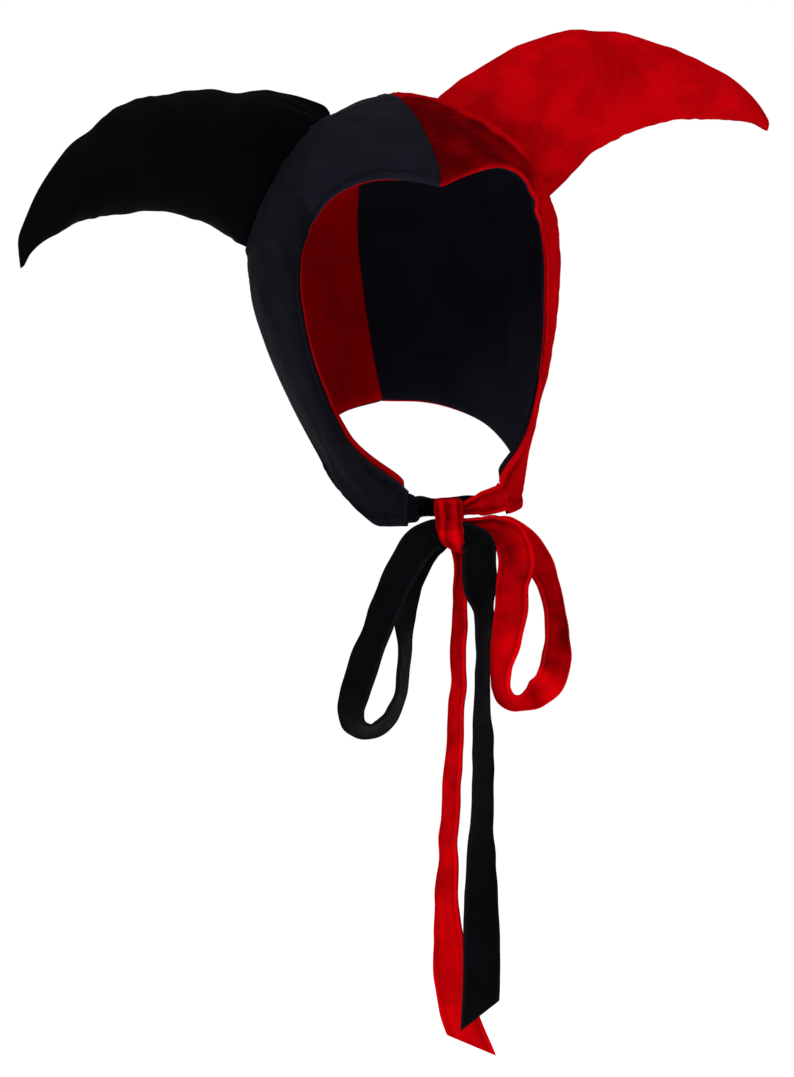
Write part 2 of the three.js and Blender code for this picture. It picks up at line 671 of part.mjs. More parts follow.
const foldStrength = { black: 1, red: 0.8 };
const pieces = {
  hood_panel_black: [hoodLayer(-1, foldStrength.black, 0, panelThick), blackVelvet],
  hood_panel_red: [hoodLayer(1, foldStrength.red, 0, panelThick), redVelvet],
  lining_red: [hoodLayer(-1, foldStrength.black, panelThick + seamGap, wallThick), redVelvet],
  lining_black: [hoodLayer(1, foldStrength.red, panelThick + seamGap, wallThick), blackVelvet],
  horn_black: [horn(hornBlack, -1, hornSeats.black), blackVelvet],
  horn_red: [horn(hornRed, 1, hornSeats.red), redVelvet],
  chin_tie_black: [seatOnKnot(tie(-1, foldStrength.black, tieBlack)), blackVelvet],
  chin_tie_red: [seatOnKnot(tie(1, foldStrength.red, tieRed)), redVelvet],
  bow_loop_black: [seatOnKnot(ribbon(bowStations(loopBlack, loopDrop), 34, 0)), blackVelvet],
  bow_loop_red: [seatOnKnot(ribbon(bowStations(loopRed, loopDrop), 36, 0)), redVelvet],
  bow_tail_black: [seatOnKnot(ribbon(bowStations(tailBlack, tailDrop), 26, -tailCut.black)), blackVelvet],
  bow_tail_red: [seatOnKnot(ribbon(bowStations(tailRed, tailDrop), 26, tailCut.red)), redVelvet],
  bow_knot_red: [knot(0), redVelvet],
};

const group = new THREE.Group();
for (const [name, [geometry, look]] of Object.entries(pieces)) {
  const mesh = new THREE.Mesh(geometry, new THREE.MeshStandardMaterial(look));
  mesh.name = name;
  group.add(mesh);
}
export default group;
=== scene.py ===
# Two-colour velvet jester bonnet: hood, lining, stuffed horns and ribbon bow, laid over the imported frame.
# Shapes are worked out in millimetres and go into the meshes in metres.
import math
import bpy
import numpy as np
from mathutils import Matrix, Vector


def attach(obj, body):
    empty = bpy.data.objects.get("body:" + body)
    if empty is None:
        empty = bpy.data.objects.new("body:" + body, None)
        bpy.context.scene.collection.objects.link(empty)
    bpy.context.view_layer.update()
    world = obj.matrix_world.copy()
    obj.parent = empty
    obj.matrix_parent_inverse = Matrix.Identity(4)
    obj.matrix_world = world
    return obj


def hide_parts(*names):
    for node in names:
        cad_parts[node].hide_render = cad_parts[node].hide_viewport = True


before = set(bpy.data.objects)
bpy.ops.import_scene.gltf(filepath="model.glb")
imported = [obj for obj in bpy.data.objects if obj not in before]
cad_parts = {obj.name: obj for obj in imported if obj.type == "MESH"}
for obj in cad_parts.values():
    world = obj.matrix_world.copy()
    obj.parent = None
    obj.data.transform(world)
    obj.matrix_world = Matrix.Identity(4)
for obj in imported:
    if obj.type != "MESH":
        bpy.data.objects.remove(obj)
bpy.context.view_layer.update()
print("frame loaded,", len(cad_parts), "nodes")

# Camera: the photograph looks from the front left, level with the middle of the object
viewpoint = {"aim": (0.00423, -0.00121, -0.2412), "turn": -16.0, "distance": 3.0, "lens": 182.3}


def addCamera(s):
    turn = math.radians(s["turn"])
    aim = Vector(s["aim"])
    data = bpy.data.cameras.new("photographView")
    data.lens = s["lens"]
    data.clip_end = 50
    camera = bpy.data.objects.new("photographView", data)
    camera.location = aim + s["distance"] * Vector((math.sin(turn), -math.cos(turn), 0))
    camera.rotation_euler = (aim - camera.location).to_track_quat("-Z", "Y").to_euler()
    bpy.context.scene.collection.objects.link(camera)
    bpy.context.scene.camera = camera


addCamera(viewpoint)


# Numbers along tables and small fields

def readColumn(table, column, key):
    # cubic line through the rows, its slope at a row taken from the rows on either side
    rows = np.array(table["rows"], float)
    keys, values = rows[:, 0], rows[:, table["columns"].index(column)]
    last = len(rows) - 1
    low = np.maximum(np.arange(last + 1) - 1, 0)
    high = np.minimum(np.arange(last + 1) + 1, last)
    slopes = (values[high] - values[low]) / (keys[high] - keys[low])
    key = np.clip(key, keys[0], keys[-1])
    i = np.clip(np.searchsorted(keys, key, side="left") - 1, 0, last - 1)
    span = keys[i + 1] - keys[i]
    t = (key - keys[i]) / span
    t2, t3 = t * t, t * t * t
    return ((2 * t3 - 3 * t2 + 1) * values[i] + (t3 - 2 * t2 + t) * span * slopes[i]
            + (3 * t2 - 2 * t3) * values[i + 1] + (t3 - t2) * span * slopes[i + 1])


def softNoise(u, v, size, seed):
    # sum of eight plane waves of about the given length, each in its own direction, from about -1 to 1
    random = np.random.default_rng(seed)
    waves = zip(random.uniform(0, 6.283, 8), random.uniform(0.7, 1.6, 8), random.uniform(0, 6.283, 8))
    return sum(np.sin(6.283 * k / size * (u * np.cos(a) + v * np.sin(a)) + p) for a, k, p in waves) / 4


def bell(distance, width):
    return np.exp(-(distance / width) ** 2)


def edgeRound(distance, radius):
    # half circle at an edge: nought at the edge itself, one from the radius inwards
    return np.maximum(np.sqrt(np.clip(1 - np.clip(1 - distance / radius, 0, 1) ** 2, 0, 1)), 0.06)


def unit(v):
    return v / np.maximum(np.linalg.norm(v, axis=-1, keepdims=True), 1e-9)


def gridNormals(points, wrapped):
    # cross product of the steps along the two directions of a grid
    if wrapped:
        around = np.roll(points, -1, axis=1) - np.roll(points, 1, axis=1)
    else:
        around = np.gradient(points, axis=1)
    return unit(np.cross(np.gradient(points, axis=0), around))


# Meshes from grids

def finishMesh(name, points, faces, fields, material):
    points = np.asarray(points, float)
    corners = points[np.array([f[:3] for f in faces])] - points.mean(0)
    if np.einsum("ij,ij->", corners[:, 0], np.cross(corners[:, 1], corners[:, 2])) < 0:
        faces = [f[::-1] for f in faces]
    mesh = bpy.data.meshes.new(name)
    mesh.from_pydata((points * 0.001).tolist(), [], faces)
    mesh.polygons.foreach_set("use_smooth", np.ones(len(mesh.polygons), bool))
    for field, values in fields.items():
        mesh.attributes.new(field, "FLOAT", "POINT").data.foreach_set("value", np.asarray(values, np.float32).ravel())
    mesh.update()
    piece = bpy.data.objects.new(name, mesh)
    bpy.context.scene.collection.objects.link(piece)
    mesh.materials.append(material)
    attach(piece, "root")
    return piece


def foldedMesh(name, loops, fields, material):
    # each row of loops is a closed line whose first half lies on the upper face and second half on the lower one;
    # the two end rows are folded shut between their halves
    rows, around = loops.shape[:2]
    index = np.arange(rows * around).reshape(rows, around)
    turned = np.roll(index, -1, axis=1)
    sides = np.stack([index[:-1], index[1:], turned[1:], turned[:-1]], -1).reshape(-1, 4)
    j = np.arange(around // 2 - 1)
    ends = [np.stack([row[j], row[j + 1], row[around - 2 - j], row[around - 1 - j]], -1) for row in (index[0], index[-1])]
    faces = np.concatenate([sides, ends[0], ends[1][:, ::-1]]).tolist()
    return finishMesh(name, loops.reshape(-1, 3), faces, fields, material)


def ringedMesh(name, rings, poles, fields, material):
    # rings of equal count from one pole to the other
    rows, around = rings.shape[:2]
    index = np.arange(rows * around).reshape(rows, around)
    turned = np.roll(index, -1, axis=1)
    sides = np.stack([index[:-1], turned[:-1], turned[1:], index[1:]], -1).reshape(-1, 4).tolist()
    first, last = rows * around, rows * around + 1
    fans = [[first, b, a] for a, b in zip(index[0].tolist(), turned[0].tolist())]
    fans += [[last, a, b] for a, b in zip(index[-1].tolist(), turned[-1].tolist())]
    points = np.concatenate([rings.reshape(-1, 3), np.array(poles)])
    fields = {k: np.concatenate([np.ravel(v), [np.ravel(v)[0], np.ravel(v)[-1]]]) for k, v in fields.items()}
    return finishMesh(name, points, sides + fans, fields, material)


# Materials: shared groups for the pile and for the sewn lines

def newGroup(name, inputs, outputs):
    group = bpy.data.node_groups.new(name, "ShaderNodeTree")
    for label, kind, value in inputs:
        socket = group.interface.new_socket(name=label, in_out="INPUT", socket_type=kind)
        if value is not None:
            socket.default_value = value
    for label, kind in outputs:
        group.interface.new_socket(name=label, in_out="OUTPUT", socket_type=kind)
    return group, group.nodes.new("NodeGroupInput").outputs, group.nodes.new("NodeGroupOutput").inputs


def put(tree, kind, links=None, **settings):
    # one node with its settings; links names an input and what feeds it, a socket or a plain value
    node = tree.nodes.new(kind)
    for key, value in settings.items():
        setattr(node, key, value)
    for key, value in (links or {}).items():
        if isinstance(value, bpy.types.NodeSocket):
            tree.links.new(value, node.inputs[key])
        else:
            node.inputs[key].default_value = value
    return node


def calc(tree, operation, *values):
    return put(tree, "ShaderNodeMath", dict(enumerate(values)), operation=operation).outputs[0]


def blendColors(tree, share, a, b):
    return put(tree, "ShaderNodeMix", {0: share, 6: a, 7: b}, data_type="RGBA").outputs[2]


def ramp(tree, value, low, high):
    return put(tree, "ShaderNodeMapRange", {"Value": value, "From Min": low, "From Max": high},
               interpolation_type="SMOOTHSTEP").outputs[0]


def makePileGroup():
    # short pile: broad brushed patches, finer mottling and the grain of the tufts; the per-point nap input adds painted
    # light and shade, moving the colour between the shade and the light colour
    group, given, out = newGroup("velvetPile", [
        ("Vector", "NodeSocketVector", None), ("Color", "NodeSocketColor", (0.5, 0, 0, 1)),
        ("Shade", "NodeSocketColor", (0.2, 0, 0, 1)), ("Crush", "NodeSocketColor", (0.7, 0, 0, 1)),
        ("Nap And Painted Light", "NodeSocketFloat", 0.5), ("Mottle", "NodeSocketFloat", 0.5), ("Patch Scale", "NodeSocketFloat", 30.0),
        ("Roughness", "NodeSocketFloat", 0.8)],
        [("Color", "NodeSocketColor"), ("Roughness", "NodeSocketFloat"), ("Height", "NodeSocketFloat")])
    noise = lambda scale, detail, rough: put(group, "ShaderNodeTexNoise", {
        "Vector": given["Vector"], "Scale": scale, "Detail": detail, "Roughness": rough}).outputs["Fac"]
    patch = ramp(group, noise(given["Patch Scale"], 3, 0.55), 0.32, 0.68)
    mottle = ramp(group, noise(calc(group, "MULTIPLY", given["Patch Scale"], 4.5), 4, 0.65), 0.35, 0.75)
    tuft = noise(1500, 2, 0.6)
    # painted light and shade from the per-point nap field, with the random patches, sets the mix of shade and colour
    share = calc(group, "MULTIPLY_ADD", calc(group, "SUBTRACT", patch, 0.5), given["Mottle"], given["Nap And Painted Light"])
    share = put(group, "ShaderNodeClamp", {"Value": share}).outputs[0]
    base = blendColors(group, share, given["Shade"], given["Color"])
    crushed = calc(group, "MULTIPLY", calc(group, "MULTIPLY", mottle, given["Mottle"]), 0.45)
    base = blendColors(group, crushed, base, given["Crush"])
    base = blendColors(group, calc(group, "MULTIPLY", ramp(group, tuft, 0.4, 0.75), 0.16), base, given["Shade"])
    group.links.new(base, out["Color"])
    rough = calc(group, "MULTIPLY_ADD", calc(group, "SUBTRACT", mottle, 0.5), 0.14, given["Roughness"])
    group.links.new(rough, out["Roughness"])
    group.links.new(calc(group, "MULTIPLY_ADD", mottle, 0.6, calc(group, "MULTIPLY", tuft, 0.5)), out["Height"])
    return group


def makeSeamGroup():
    # sewn line at a distance from the edge: stitches along it, and a lighter edge that is partly rubbed pile and partly
    # a painted highlight
    group, given, out = newGroup("sewnLine", [
        ("Color", "NodeSocketColor", (0.5, 0, 0, 1)), ("Edge", "NodeSocketFloat", 0.0), ("Run", "NodeSocketFloat", 0.0),
        ("Offset", "NodeSocketFloat", 0.0055), ("Pitch", "NodeSocketFloat", 0.0028), ("Thread", "NodeSocketFloat", 0.00035),
        ("Thread Color", "NodeSocketColor", (0.3, 0, 0, 1)), ("Worn And Highlight Color", "NodeSocketColor", (0.6, 0, 0, 1)),
        ("Wear And Highlight", "NodeSocketFloat", 0.4)],
        [("Color", "NodeSocketColor"), ("Height", "NodeSocketFloat")])
    away = calc(group, "ABSOLUTE", calc(group, "SUBTRACT", given["Edge"], given["Offset"]))
    line = calc(group, "SUBTRACT", 1, ramp(group, calc(group, "DIVIDE", away, given["Thread"]), 0.5, 1.5))
    stitch = calc(group, "GREATER_THAN", calc(group, "FRACT", calc(group, "DIVIDE", given["Run"], given["Pitch"])), 0.28)
    thread = calc(group, "MULTIPLY", line, stitch)
    # lighter colour within about two millimetres of the edge: partly rubbed pile, partly a painted highlight
    worn = calc(group, "MULTIPLY", calc(group, "SUBTRACT", 1, ramp(group, given["Edge"], 0.0, 0.0022)), given["Wear And Highlight"])
    color = blendColors(group, worn, given["Color"], given["Worn And Highlight Color"])
    color = blendColors(group, calc(group, "MULTIPLY", thread, 0.7), color, given["Thread Color"])
    group.links.new(color, out["Color"])
    group.links.new(calc(group, "SUBTRACT", calc(group, "MULTIPLY", thread, 0.6), line), out["Height"])
    return group


pileGroup = makePileGroup()
seamGroup = makeSeamGroup()


def velvet(name, s):
    material = bpy.data.materials.new(name)
    material.use_nodes = True
    tree = material.node_tree
    tree.nodes.clear()
    field = lambda label: put(tree, "ShaderNodeAttribute", attribute_name=label).outputs["Fac"]
    coordinates = put(tree, "ShaderNodeTexCoord").outputs["Object"]
    pile = put(tree, "ShaderNodeGroup", node_tree=pileGroup)
    links = {"Vector": coordinates, "Color": s["color"], "Shade": s["shade"], "Crush": s["crush"], "Mottle": s["mottle"],
             "Patch Scale": s["patch"], "Roughness": s["rough"], "Nap And Painted Light": field("napAndPaintedLight")}
    for key, value in links.items():
        if isinstance(value, bpy.types.NodeSocket):
            tree.links.new(value, pile.inputs[key])
        else:
            pile.inputs[key].default_value = value
    seam = put(tree, "ShaderNodeGroup", node_tree=seamGroup)
    links = {"Color": pile.outputs["Color"], "Edge": field("edge"), "Run": field("run"), "Offset": s["offset"],
             "Thread Color": s["thread"], "Worn And Highlight Color": s["worn"], "Wear And Highlight": s["wearAndHighlight"]}
    for key, value in links.items():
        if isinstance(value, bpy.types.NodeSocket):
            tree.links.new(value, seam.inputs[key])
        else:
            seam.inputs[key].default_value = value
    height = calc(tree, "MULTIPLY_ADD", seam.outputs["Height"], 0.8, pile.outputs["Height"])
    bump = put(tree, "ShaderNodeBump", {"Height": height, "Strength": s["bump"], "Distance": 0.0004})
    shader = put(tree, "ShaderNodeBsdfPrincipled", {
        "Base Color": seam.outputs["Color"], "Roughness": pile.outputs["Roughness"], "Normal": bump.outputs[0],
        "Metallic": s["satin"], "Specular IOR Level": s["gloss"], "Specular Tint": s["glossTint"],
        "Sheen Weight": s["sheen"], "Sheen Roughness": s["sheenRough"],
        "Sheen Tint": s["sheenTint"]})
    result = put(tree, "ShaderNodeOutputMaterial")
    tree.links.new(shader.outputs[0], result.inputs[0])
    return material


# worn is the lighter edge colour, partly rubbed pile and partly a painted highlight
redFinish = {
    "color": (0.44, 0.0006, 0.0026, 1), "shade": (0.085, 0.0002, 0.0008, 1), "crush": (0.56, 0.0012, 0.0045, 1),
    "mottle": 0.32, "patch": 26, "rough": 0.7, "satin": 0.10, "gloss": 0.0, "glossTint": (1, 0.02, 0.03, 1), "bump": 0.35,
    "sheen": 0.10, "sheenRough": 0.35, "sheenTint": (1, 0.02, 0.03, 1),
    "offset": 0.0055, "thread": (0.14, 0.0005, 0.001, 1), "worn": (0.6, 0.002, 0.005, 1), "wearAndHighlight": 0.35,
}
blackFinish = {
    "color": (0.0072, 0.0072, 0.0122, 1), "shade": (0.0028, 0.0028, 0.0042, 1), "crush": (0.0105, 0.0105, 0.0165, 1),
    "mottle": 0.45, "patch": 26, "rough": 0.75, "satin": 0.0, "gloss": 0.015, "glossTint": (0.8, 0.85, 1, 1), "bump": 0.35,
    "sheen": 0.004, "sheenRough": 0.4, "sheenTint": (0.75, 0.8, 1, 1),
    "offset": 0.0055, "thread": (0.002, 0.002, 0.003, 1), "worn": (0.016, 0.016, 0.024, 1), "wearAndHighlight": 0.3,
}
materials = {
    # the darker shade here is what the painted shade over the brow band reaches
    "redHood": velvet("redHoodVelvet", {
        **redFinish, "shade": (0.060, 0.0002, 0.0006, 1), "mottle": 0.07, "sheen": 0.06}),
    "redHorn": velvet("redHornVelvet", {
        **redFinish, "mottle": 0.42, "patch": 44, "offset": 0.002, "wearAndHighlight": 0.1}),
    # color is the light end that the painted highlights along the bow reach, shade the dark end of its painted shade
    "redRibbon": velvet("redRibbonVelvet", {
        **redFinish, "color": (0.62, 0.0004, 0.003, 1), "shade": (0.09, 0.0002, 0.0006, 1), "patch": 60, "mottle": 0.16,
        "rough": 0.44, "satin": 0.18, "offset": 0.0018, "bump": 0.25, "thread": (0.32, 0.0005, 0.002, 1), "wearAndHighlight": 0.1}),
    "redLining": velvet("redLiningCloth", {
        **redFinish, "color": (0.34, 0.0005, 0.002, 1), "mottle": 0.3, "wearAndHighlight": 0.0, "bump": 0.2}),
    "blackHood": velvet("blackHoodVelvet", blackFinish),
    "blackHorn": velvet("blackHornVelvet", {
        **blackFinish, "color": (0.0015, 0.0017, 0.0020, 1), "shade": (0.0006, 0.0006, 0.0008, 1),
        "crush": (0.0028, 0.003, 0.0036, 1), "gloss": 0.01, "sheen": 0.003, "offset": 0.002}),
    "blackRibbon": velvet("blackRibbonVelvet", {
        **blackFinish, "color": (0.0020, 0.0021, 0.0027, 1), "shade": (0.0006, 0.0006, 0.0009, 1),
        "crush": (0.0045, 0.0045, 0.0056, 1), "patch": 60, "gloss": 0.02, "sheen": 0.005, "offset": 0.0018, "wearAndHighlight": 0.15}),
    "blackLining": velvet("blackLiningCloth", {**blackFinish, "wearAndHighlight": 0.1, "bump": 0.2}),
}
print("materials made,", len(materials))


# Hood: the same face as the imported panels, on a finer grid

hood = {
    "halfWidth": 86.5, "halfDepth": 98.0, "drop": 233.0, "widest": 0.365, "lean": 6.7,
    "panel": 2.0, "lining": 1.0, "gap": 0.3, "rimLength": 300.0, "flapWidth": 18.0,
    "rows": 190, "columns": 150, "liningRows": 120, "liningColumns": 60,
    "rimValley": 5.5, "rimPucker": 0.32, "seamDepth": 1.1, "hornRidge": 1.2, "bandRidge": 1.1, "peek": 0.5,
    "peekEnd": {"black": 0.30, "red": 0.78}, "liningSeam": {"black": -0.30, "red": 0.40},
    "foldStrength": {"black": 1.0, "red": 0.8},
}
hood["wall"] = hood["panel"] + hood["gap"] + hood["lining"]
hoodSections = {
    "columns": ["below", "side", "front", "back"],
    "rows": [
        [0.000, 1.000, 1.00, 1.02], [0.176, 1.000, 1.00, 1.02], [0.215, 1.000, 0.93, 1.02], [0.258, 1.000, 0.78, 1.02],
        [0.309, 1.000, 0.65, 1.02], [0.365, 1.000, 0.57, 1.02], [0.429, 1.000, 0.52, 1.01], [0.515, 0.960, 0.49, 0.99],
        [0.600, 0.902, 0.51, 0.95], [0.687, 0.822, 0.55, 0.88], [0.764, 0.735, 0.59, 0.80], [0.815, 0.680, 0.58, 0.74],
        [0.858, 0.645, 0.54, 0.70], [0.901, 0.605, 0.50, 0.66], [0.944, 0.560, 0.52, 0.62], [1.000, 0.520, 0.58, 0.58],
    ],
}
faceRim = {
    "columns": ["along", "below", "turn"],
    "rows": [
        [0.00, 0.230, 0], [0.06, 0.207, 13.5], [0.13, 0.195, 29.0], [0.18, 0.210, 40.0], [0.22, 0.234, 46.0],
        [0.27, 0.273, 49.7], [0.33, 0.318, 52.8], [0.39, 0.369, 55.3], [0.46, 0.429, 57.0], [0.53, 0.494, 58.4],
        [0.61, 0.579, 60.9], [0.70, 0.670, 62.7], [0.79, 0.760, 63.5], [0.84, 0.807, 61.0], [0.90, 0.850, 51.0],
        [0.96, 0.897, 36.0], [1.00, 0.918, 31.0],
    ],
}
neckEdge = {
    "columns": ["along", "below", "turn"],
    "rows": [
        [0.00, 0.708, 180], [0.20, 0.728, 156], [0.40, 0.785, 129], [0.60, 0.858, 105], [0.75, 0.926, 86],
        [0.88, 0.988, 66], [1.00, 0.999, 42],
    ],
}
creases = [  # from along and across, to along and across, half width and height in shares of rimLength
    [0.285, 0.000, 0.235, 0.130, 0.0167, 0.0067], [0.325, 0.010, 0.275, 0.150, 0.0200, -0.0040],
    [0.380, 0.050, 0.720, 0.085, 0.0150, -0.0053], [0.400, 0.105, 0.700, 0.165, 0.0233, 0.0047],
    [0.850, 0.250, 0.930, 0.720, 0.0150, -0.0060], [0.800, 0.700, 0.900, 0.950, 0.0167, 0.0050],
    [0.100, 0.100, 0.130, 0.230, 0.0167, -0.0027], [0.170, 0.090, 0.190, 0.210, 0.0167, -0.0030],
    [0.060, 0.930, 0.100, 0.780, 0.0233, 0.0043], [0.160, 0.940, 0.190, 0.800, 0.0233, 0.0040],
    [0.270, 0.950, 0.300, 0.820, 0.0233, 0.0043],
]
bandSeams = {  # distance over the cloth from the face rim to the seam of the brow band
    "red": {"columns": ["along", "wide"], "rows": [[0.00, 88], [0.06, 73], [0.11, 52], [0.16, 37], [0.20, 29], [0.25, 18.5],
                                                   [0.31, 20], [0.38, 23.5], [0.46, 34], [0.55, 48], [1.00, 60]]},
    "black": {"columns": ["along", "wide"], "rows": [[0.00, 76], [0.06, 74], [0.12, 72], [0.20, 80], [0.28, 88], [0.40, 84],
                                                     [0.55, 84], [1.00, 80]]},
}
widestLevel = -hood["widest"] * hood["drop"]
hoodHeart = np.array([0, 0, widestLevel - 5])


def sectionAt(z):
    # half sizes of the level section; above the widest level they close as a dome
    below = -z / hood["drop"]
    rise = np.clip((z - widestLevel) / (hood["wall"] - widestLevel), 0, 1)
    close = (1 - rise ** 1.8) ** (1 / 1.8)
    return (hood["halfWidth"] * readColumn(hoodSections, "side", below) * close,
            hood["halfDepth"] * readColumn(hoodSections, "front", below) * close,
            hood["halfDepth"] * readColumn(hoodSections, "back", below) * close)


def edgePoint(table, along):
    z = -readColumn(table, "below", along) * hood["drop"]
    a = np.radians(readColumn(table, "turn", along))
    side, front, back = sectionAt(z)
    return np.stack([side * np.sin(a), -np.where(np.cos(a) > 0, front, back) * np.cos(a), z], -1)


def onHood(direction):
    # where rays from the heart of the hood meet its outer face, found by halving
    ray = unit(direction)
    low = np.full(ray.shape[:-1], 5.0)
    high = np.full(ray.shape[:-1], 400.0)
    for step in range(34):
        middle = (low + high) / 2
        p = hoodHeart + ray * middle[..., None]
        side, front, back = sectionAt(p[..., 2])
        depth = np.maximum(np.where(p[..., 1] < 0, front, back), 1e-6)
        outside = (p[..., 2] >= hood["wall"]) | ((p[..., 0] / np.maximum(side, 1e-6)) ** 2 + (p[..., 1] / depth) ** 2 > 1)
        high = np.where(outside, middle, high)
        low = np.where(outside, low, middle)
    return hoodHeart + ray * low[..., None]


def hoodNormals(p):
    ray = unit(p - hoodHeart)
    one = np.cross([0, 0, 1.0], ray)
    one[np.linalg.norm(one, axis=-1) < 1e-6] = (1, 0, 0)
    one = unit(one)
    two = np.cross(ray, one)
    across = onHood(ray + 0.03 * one) - onHood(ray - 0.03 * one)
    along = onHood(ray + 0.03 * two) - onHood(ray - 0.03 * two)
    n = unit(np.cross(across, along))
    return n * np.sign(np.sum(n * ray, -1, keepdims=True))


def hoodFace(along, across):
    # the four edges blended, then laid on the hood's outer face, for one half
    a, c = along[..., None], across[..., None]
    seam = [math.atan2(p[2] - hoodHeart[2], -p[1]) for p in (edgePoint(faceRim, 0.0), edgePoint(neckEdge, 0.0))]
    angle = seam[0] + across * (seam[1] + 2 * math.pi - seam[0])
    centre = onHood(np.stack([0 * angle, -np.cos(angle), np.sin(angle)], -1))
    f0, f1, n0, n1 = (edgePoint(t, k) for t in (faceRim, neckEdge) for k in (0.0, 1.0))
    p = (edgePoint(faceRim, along) * (1 - c) + edgePoint(neckEdge, along) * c + centre * (1 - a) + (f1 + (n1 - f1) * c) * a
         - f0 * (1 - a) * (1 - c) - f1 * a * (1 - c) - n0 * (1 - a) * c - n1 * a * c)
    p = onHood(p - hoodHeart)
    n = hoodNormals(p)
    n[along == 0, 0] = 0
    return p, unit(n)


def foldHeight(along, across):
    # creases as bell-shaped ridges and valleys along short lines of the flat half
    place = np.stack([along, across * (1 - along + along * hood["flapWidth"] / hood["rimLength"])], -1)
    height = np.zeros(along.shape)
    for alongFrom, acrossFrom, alongTo, acrossTo, wide, high in creases:
        flat = lambda a, c: np.array([a, c * (1 - a + a * hood["flapWidth"] / hood["rimLength"])])
        start, line = flat(alongFrom, acrossFrom), flat(alongTo, acrossTo) - flat(alongFrom, acrossFrom)
        share = np.clip(((place - start) @ line) / (line @ line), 0, 1)
        height += high * bell(np.linalg.norm(place - start - share[..., None] * line, axis=-1), wide)
    return height * hood["rimLength"]


def lean(p):
    a = math.radians(hood["lean"])
    return np.stack([p[..., 0] * math.cos(a) - p[..., 2] * math.sin(a), p[..., 1],
                     p[..., 2] * math.cos(a) + p[..., 0] * math.sin(a)], -1)


def hoodGrid(rows, columns):
    # grid that is closer at the centre seam, the face rim and the neck edge, with distances from each edge
    along = (np.linspace(0, 1, rows) ** 1.2)[:, None] + np.zeros(columns)
    across = (1 - (1 - np.linspace(0, 1, columns) ** 1.35) ** 1.1)[None, :] + np.zeros((rows, 1))
    p, n = hoodFace(along, across)
    stepAcross = np.linalg.norm(np.diff(p, axis=1), axis=-1)
    stepAlong = np.linalg.norm(np.diff(p, axis=0), axis=-1)
    rim = np.concatenate([np.zeros((rows, 1)), np.cumsum(stepAcross, 1)], 1)
    run = np.concatenate([np.zeros((1, columns)), np.cumsum(stepAlong, 0)], 0)
    return {"along": along, "across": across, "point": p, "normal": n, "rim": rim, "neck": rim[:, -1:] - rim,
            "run": run, "flap": run[-1:] - run, "seam": np.abs(p[..., 0]), "fold": foldHeight(along, across)}


panelGrid = hoodGrid(hood["rows"], hood["columns"])
liningGrid = hoodGrid(hood["liningRows"], hood["liningColumns"])
print("hood face worked out")

# Horns: rows of sections from seat to tip, in shares of reach
hornSizes = {
    "reach": 216.0, "seatGap": 0.45, "around": 112, "along": 104, "seat": 6,
    "basePucker": 0.04, "seamPucker": 0.34, "seamDepth": 0.7, "outline": 0.45, "slim": 0.90, "pressure": 4.0, "cap": 6.0, "fill": 0.8,
    "seats": {"black": (0.642, 0.269, 0.159), "red": (0.679, 0.170, 0.143)},  # shares of half width, half depth, drop
}
hornColumns = ["reach", "behind", "rise", "half", "depth", "lean"]
hornTables = {
    "black": {"columns": hornColumns, "rows": [
        [0.255, 0.122, -0.178, 0.206, 0.125, 37.5], [0.343, 0.112, -0.132, 0.197, 0.138, 24.0],
        [0.415, 0.098, -0.109, 0.177, 0.134, 20.5], [0.522, 0.079, -0.082, 0.160, 0.125, 17.5],
        [0.630, 0.060, -0.078, 0.151, 0.116, 16.5], [0.748, 0.042, -0.093, 0.140, 0.106, 16.0],
        [0.825, 0.028, -0.130, 0.112, 0.088, 12.5], [0.878, 0.019, -0.164, 0.089, 0.065, 3.5],
        [0.923, 0.014, -0.205, 0.063, 0.046, -6.0], [0.960, 0.009, -0.246, 0.041, 0.030, -18.0],
        [0.991, 0.005, -0.294, 0.022, 0.016, -32.0], [0.995, 0.000, -0.322, 0.010, 0.008, -38.0]]},
    "red": {"columns": hornColumns, "rows": [
        [0.272, 0.120, -0.145, 0.187, 0.138, 42.5], [0.371, 0.111, -0.082, 0.185, 0.146, 32.0],
        [0.459, 0.097, -0.031, 0.168, 0.132, 27.0], [0.550, 0.079, -0.003, 0.155, 0.123, 20.0],
        [0.657, 0.060, 0.005, 0.135, 0.111, 20.5], [0.745, 0.042, -0.008, 0.117, 0.096, 21.0],
        [0.834, 0.028, -0.038, 0.091, 0.073, 17.5], [0.906, 0.014, -0.072, 0.064, 0.049, 8.5],
        [0.964, 0.005, -0.116, 0.031, 0.027, -12.5], [0.994, 0.000, -0.157, 0.013, 0.012, -38.0]]},
}


def hornRings(color, share, angle, slim):
    # closed sections of a horn: height by the sine and depth by a power of the cosine of the angle round it
    s, table = hornSizes, hornTables[color]
    first, last = table["rows"][0][0], table["rows"][-1][0]
    read = lambda column, reach: readColumn(table, column, reach)
    reach = first + (last - first) * share
    up = np.radians(read("lean", reach))
    pucker = 1 + s["basePucker"] * np.cos(11 * angle + 1 + 1.5 * np.sin(2 * angle)) * bell(share, 0.09)
    tall = read("half", reach) * np.sin(angle) * pucker
    deep = read("depth", reach) * np.sign(np.cos(angle)) * np.abs(np.cos(angle)) ** 1.2 * pucker * slim
    side, back, below = s["seats"][color]
    shift = np.array([side * hood["halfWidth"], back * hood["halfDepth"], -below * hood["drop"]])
    shift = shift - s["reach"] * np.array([first, float(read("behind", first)), float(read("rise", first))])
    p = np.stack([reach - tall * np.sin(up), read("behind", reach) + deep, read("rise", reach) + tall * np.cos(up)], -1)
    return p * s["reach"] + shift


def seatOn(p, lift):
    # points laid on the hood's face, a little above it
    q = onHood(p - hoodHeart)
    return q + hoodNormals(q) * lift


